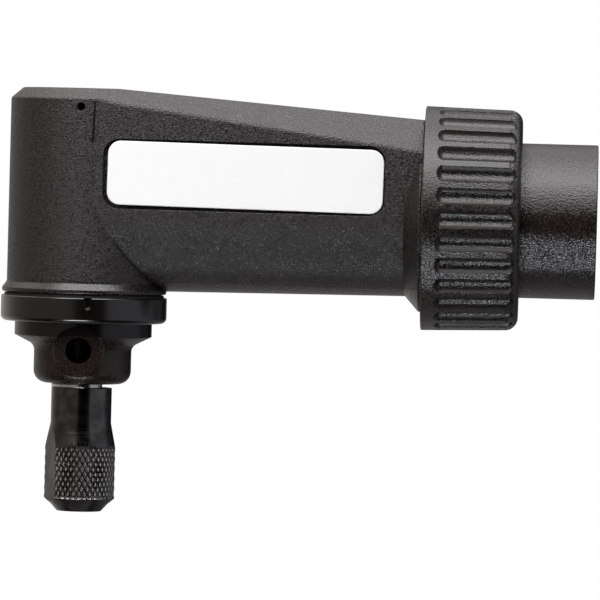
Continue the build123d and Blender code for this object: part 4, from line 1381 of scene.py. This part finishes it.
def make_floor(sizes):
    low = CAD_BOX[0][2] - sizes.floor_drop
    radius, steps = sizes.floor_radius, 96
    angles = [2 * pi * i / steps for i in range(steps)]
    points = [(radius * cos(angle) + FLOOR_X * MM, radius * sin(angle), low) for angle in angles]
    mesh = bpy.data.meshes.new("floor")
    mesh.from_pydata(points, [], [tuple(range(steps))])
    floor = new_object("floor", mesh)
    material, graph = new_material("floor_white")
    speck = graph.step(graph.noise(millimetres(graph), 0.05, 3), 0.3, 0.7)
    shade = graph.blend(speck, (0.86, 0.86, 0.86, 1), (0.88, 0.88, 0.88, 1))
    surfaced(graph, {"Base Color": shade, "Roughness": 0.6}, speck, 0.002)
    mesh.materials.append(material)
    floor.visible_glossy = False


def make_world(scene, sizes):
    """White where the camera looks, the room in what gloss or glass shows, else soft grey."""
    world = bpy.data.worlds.new("studio")
    world.use_nodes = True
    scene.world = world
    graph = Graph(world.node_tree)
    rays = graph.tree.nodes.new("ShaderNodeLightPath")
    names = ("Is Camera Ray", "Is Glossy Ray", "Is Transmission Ray")
    camera, gloss, glass = (Term(graph, rays.outputs[name]) for name in names)
    x, y, z = graph.parts(graph.add("ShaderNodeTexCoord", output="Generated"))
    front_card = front_card_share(graph, x, y, z)
    room = room_brightness(graph, x, y, z) + front_card * CARD_LEVEL + DARKEST_LEVEL
    mirrored = graph.maths("MAXIMUM", gloss, glass)
    unseen = mirrored * room + (1 - mirrored) * sizes.room_level
    strength = camera * sizes.backdrop + (1 - camera) * unseen
    shades = graph.blend(graph.step(x, -0.3, 0.5), (1.03, 1.0, 0.96, 1), (0.96, 1.0, 1.07, 1))
    shades = graph.blend(front_card, shades, (0.93, 1.0, 1.05, 1))
    tint = graph.blend(mirrored, (1, 1, 1, 1), shades)
    shader = graph.add("ShaderNodeBackground", None, {"Color": tint, "Strength": strength})
    graph.add("ShaderNodeOutputWorld", None, {"Surface": shader})


def room_brightness(graph, x, y, z):
    """What gloss shows of the room, by direction: x to the right, y away and z up."""
    low = graph.step(z, -0.75, -0.25)
    left = graph.step(x, -0.07, -0.23, 0.0, 0.24) * low
    right = graph.step(x, 0.53, 0.66) * graph.step(y, 0.60, 0.10, 0.06, 0.38) * low
    behind = graph.step(y, 0.0, 0.8, 0.0, 0.18) * graph.step(x, 0.35, 0.0)
    low_back = graph.step(z, 0.0, -0.5) * graph.step(y, 0.0, 0.5) * 0.12
    back_sky = graph.step(y, -0.6, 0.2) * graph.step(y, 1.0, 0.3, 0.5, 1.0)
    sky = graph.step(z, 0.30, 0.80) * back_sky * 1.7
    under = graph.step(z, -0.88, -0.97) * 0.16
    return left + right + behind + low_back + sky + under


def front_card_share(graph, x, y, z):
    """One on the bright card low in front, which lights the lower edges."""
    height = graph.step(z, -0.68, -0.74) * graph.step(z, -0.86, -0.79)
    width = graph.step(x, -0.37, -0.22) * graph.step(x, 0.20, 0.06)
    return height * width * graph.step(y, -0.15, -0.4)


def area_light(name, place, aim, size, power):
    """Lamp at a place, turned to a point: both and its size are in millimetres."""
    data = bpy.data.lights.new(name, "AREA")
    data.shape = "RECTANGLE"
    data.size, data.size_y = size[0] * MM, size[1] * MM
    data.energy = power
    lamp = bpy.data.objects.new(name, data)
    bpy.context.scene.collection.objects.link(lamp)
    lamp.location = Vector(place) * MM
    lamp.visible_camera = False
    lamp.rotation_euler = (Vector(aim) - Vector(place)).to_track_quat("-Z", "Y").to_euler()


def make_lights(sizes):
    x, y, z = STAGE_MIDDLE
    y -= SOFT_BOX_DISTANCE * cos(SOFT_BOX_RISE)
    z += SOFT_BOX_DISTANCE * sin(SOFT_BOX_RISE)
    area_light("soft_box", (x, y, z), STAGE_MIDDLE, SOFT_BOX_SIZE, sizes.soft_box)
    area_light("side_lamp", SIDE_LAMP_PLACE, SIDE_LAMP_AIM, SIDE_LAMP_SIZE, sizes.side_lamp)


def make_camera(scene, sizes):
    data = bpy.data.cameras.new("camera")
    data.lens = sizes.lens
    data.sensor_width = 36
    data.clip_start, data.clip_end = 0.01, 10
    camera = bpy.data.objects.new("camera", data)
    scene.collection.objects.link(camera)
    scene.camera = camera
    place = Vector((CAMERA_X_Z[0] * MM, -sizes.camera_distance, CAMERA_X_Z[1] * MM))
    aim = Vector((CAMERA_AIM_X_Z[0] * MM, 0, CAMERA_AIM_X_Z[1] * MM))
    facing = (aim - place).to_track_quat("-Z", "Y")
    roll = Matrix.Rotation(sizes.camera_roll, 4, "Z")
    camera.matrix_world = Matrix.Translation(place) @ facing.to_matrix().to_4x4() @ roll


SETTINGS = {
    "attachment_housing": HousingSettings,
    "attachment_ring": RingSettings,
    "attachment_thread": ThreadSettings,
    "attachment_nut": NutSettings,
    "attachment_finish": FinishSettings,
    "attachment_stage": StageSettings,
}

OPERATORS = (
    ATTACHMENT_OT_housing,
    ATTACHMENT_OT_plate,
    ATTACHMENT_OT_cap,
    ATTACHMENT_OT_ring,
    ATTACHMENT_OT_sleeve,
    ATTACHMENT_OT_spindle,
    ATTACHMENT_OT_nut,
    ATTACHMENT_OT_collet,
    ATTACHMENT_OT_clip,
    ATTACHMENT_OT_inner,
    ATTACHMENT_OT_stage,
)


class ATTACHMENT_PT_panel(bpy.types.Panel):
    """Lists the settings and the pieces"""

    bl_idname = "ATTACHMENT_PT_panel"
    bl_label = "Right angle attachment"
    bl_space_type = "VIEW_3D"
    bl_region_type = "UI"
    bl_category = "Attachment"

    def draw(self, context):
        for name, group in SETTINGS.items():
            box = self.layout.box()
            for key in group.__annotations__:
                box.prop(getattr(context.scene, name), key)
        for operator in OPERATORS:
            self.layout.operator(operator.bl_idname)


def register():
    for name, group in SETTINGS.items():
        bpy.utils.register_class(group)
        setattr(bpy.types.Scene, name, bpy.props.PointerProperty(type=group))
    for operator in OPERATORS:
        bpy.utils.register_class(operator)
    bpy.utils.register_class(ATTACHMENT_PT_panel)


def unregister():
    bpy.utils.unregister_class(ATTACHMENT_PT_panel)
    for operator in reversed(OPERATORS):
        bpy.utils.unregister_class(operator)
    for name, group in SETTINGS.items():
        delattr(bpy.types.Scene, name)
        bpy.utils.unregister_class(group)


def main():
    register()
    for operator in OPERATORS:
        family, name = operator.bl_idname.split(".")
        getattr(getattr(bpy.ops, family), name)()


if __name__ == "__main__":
    main()
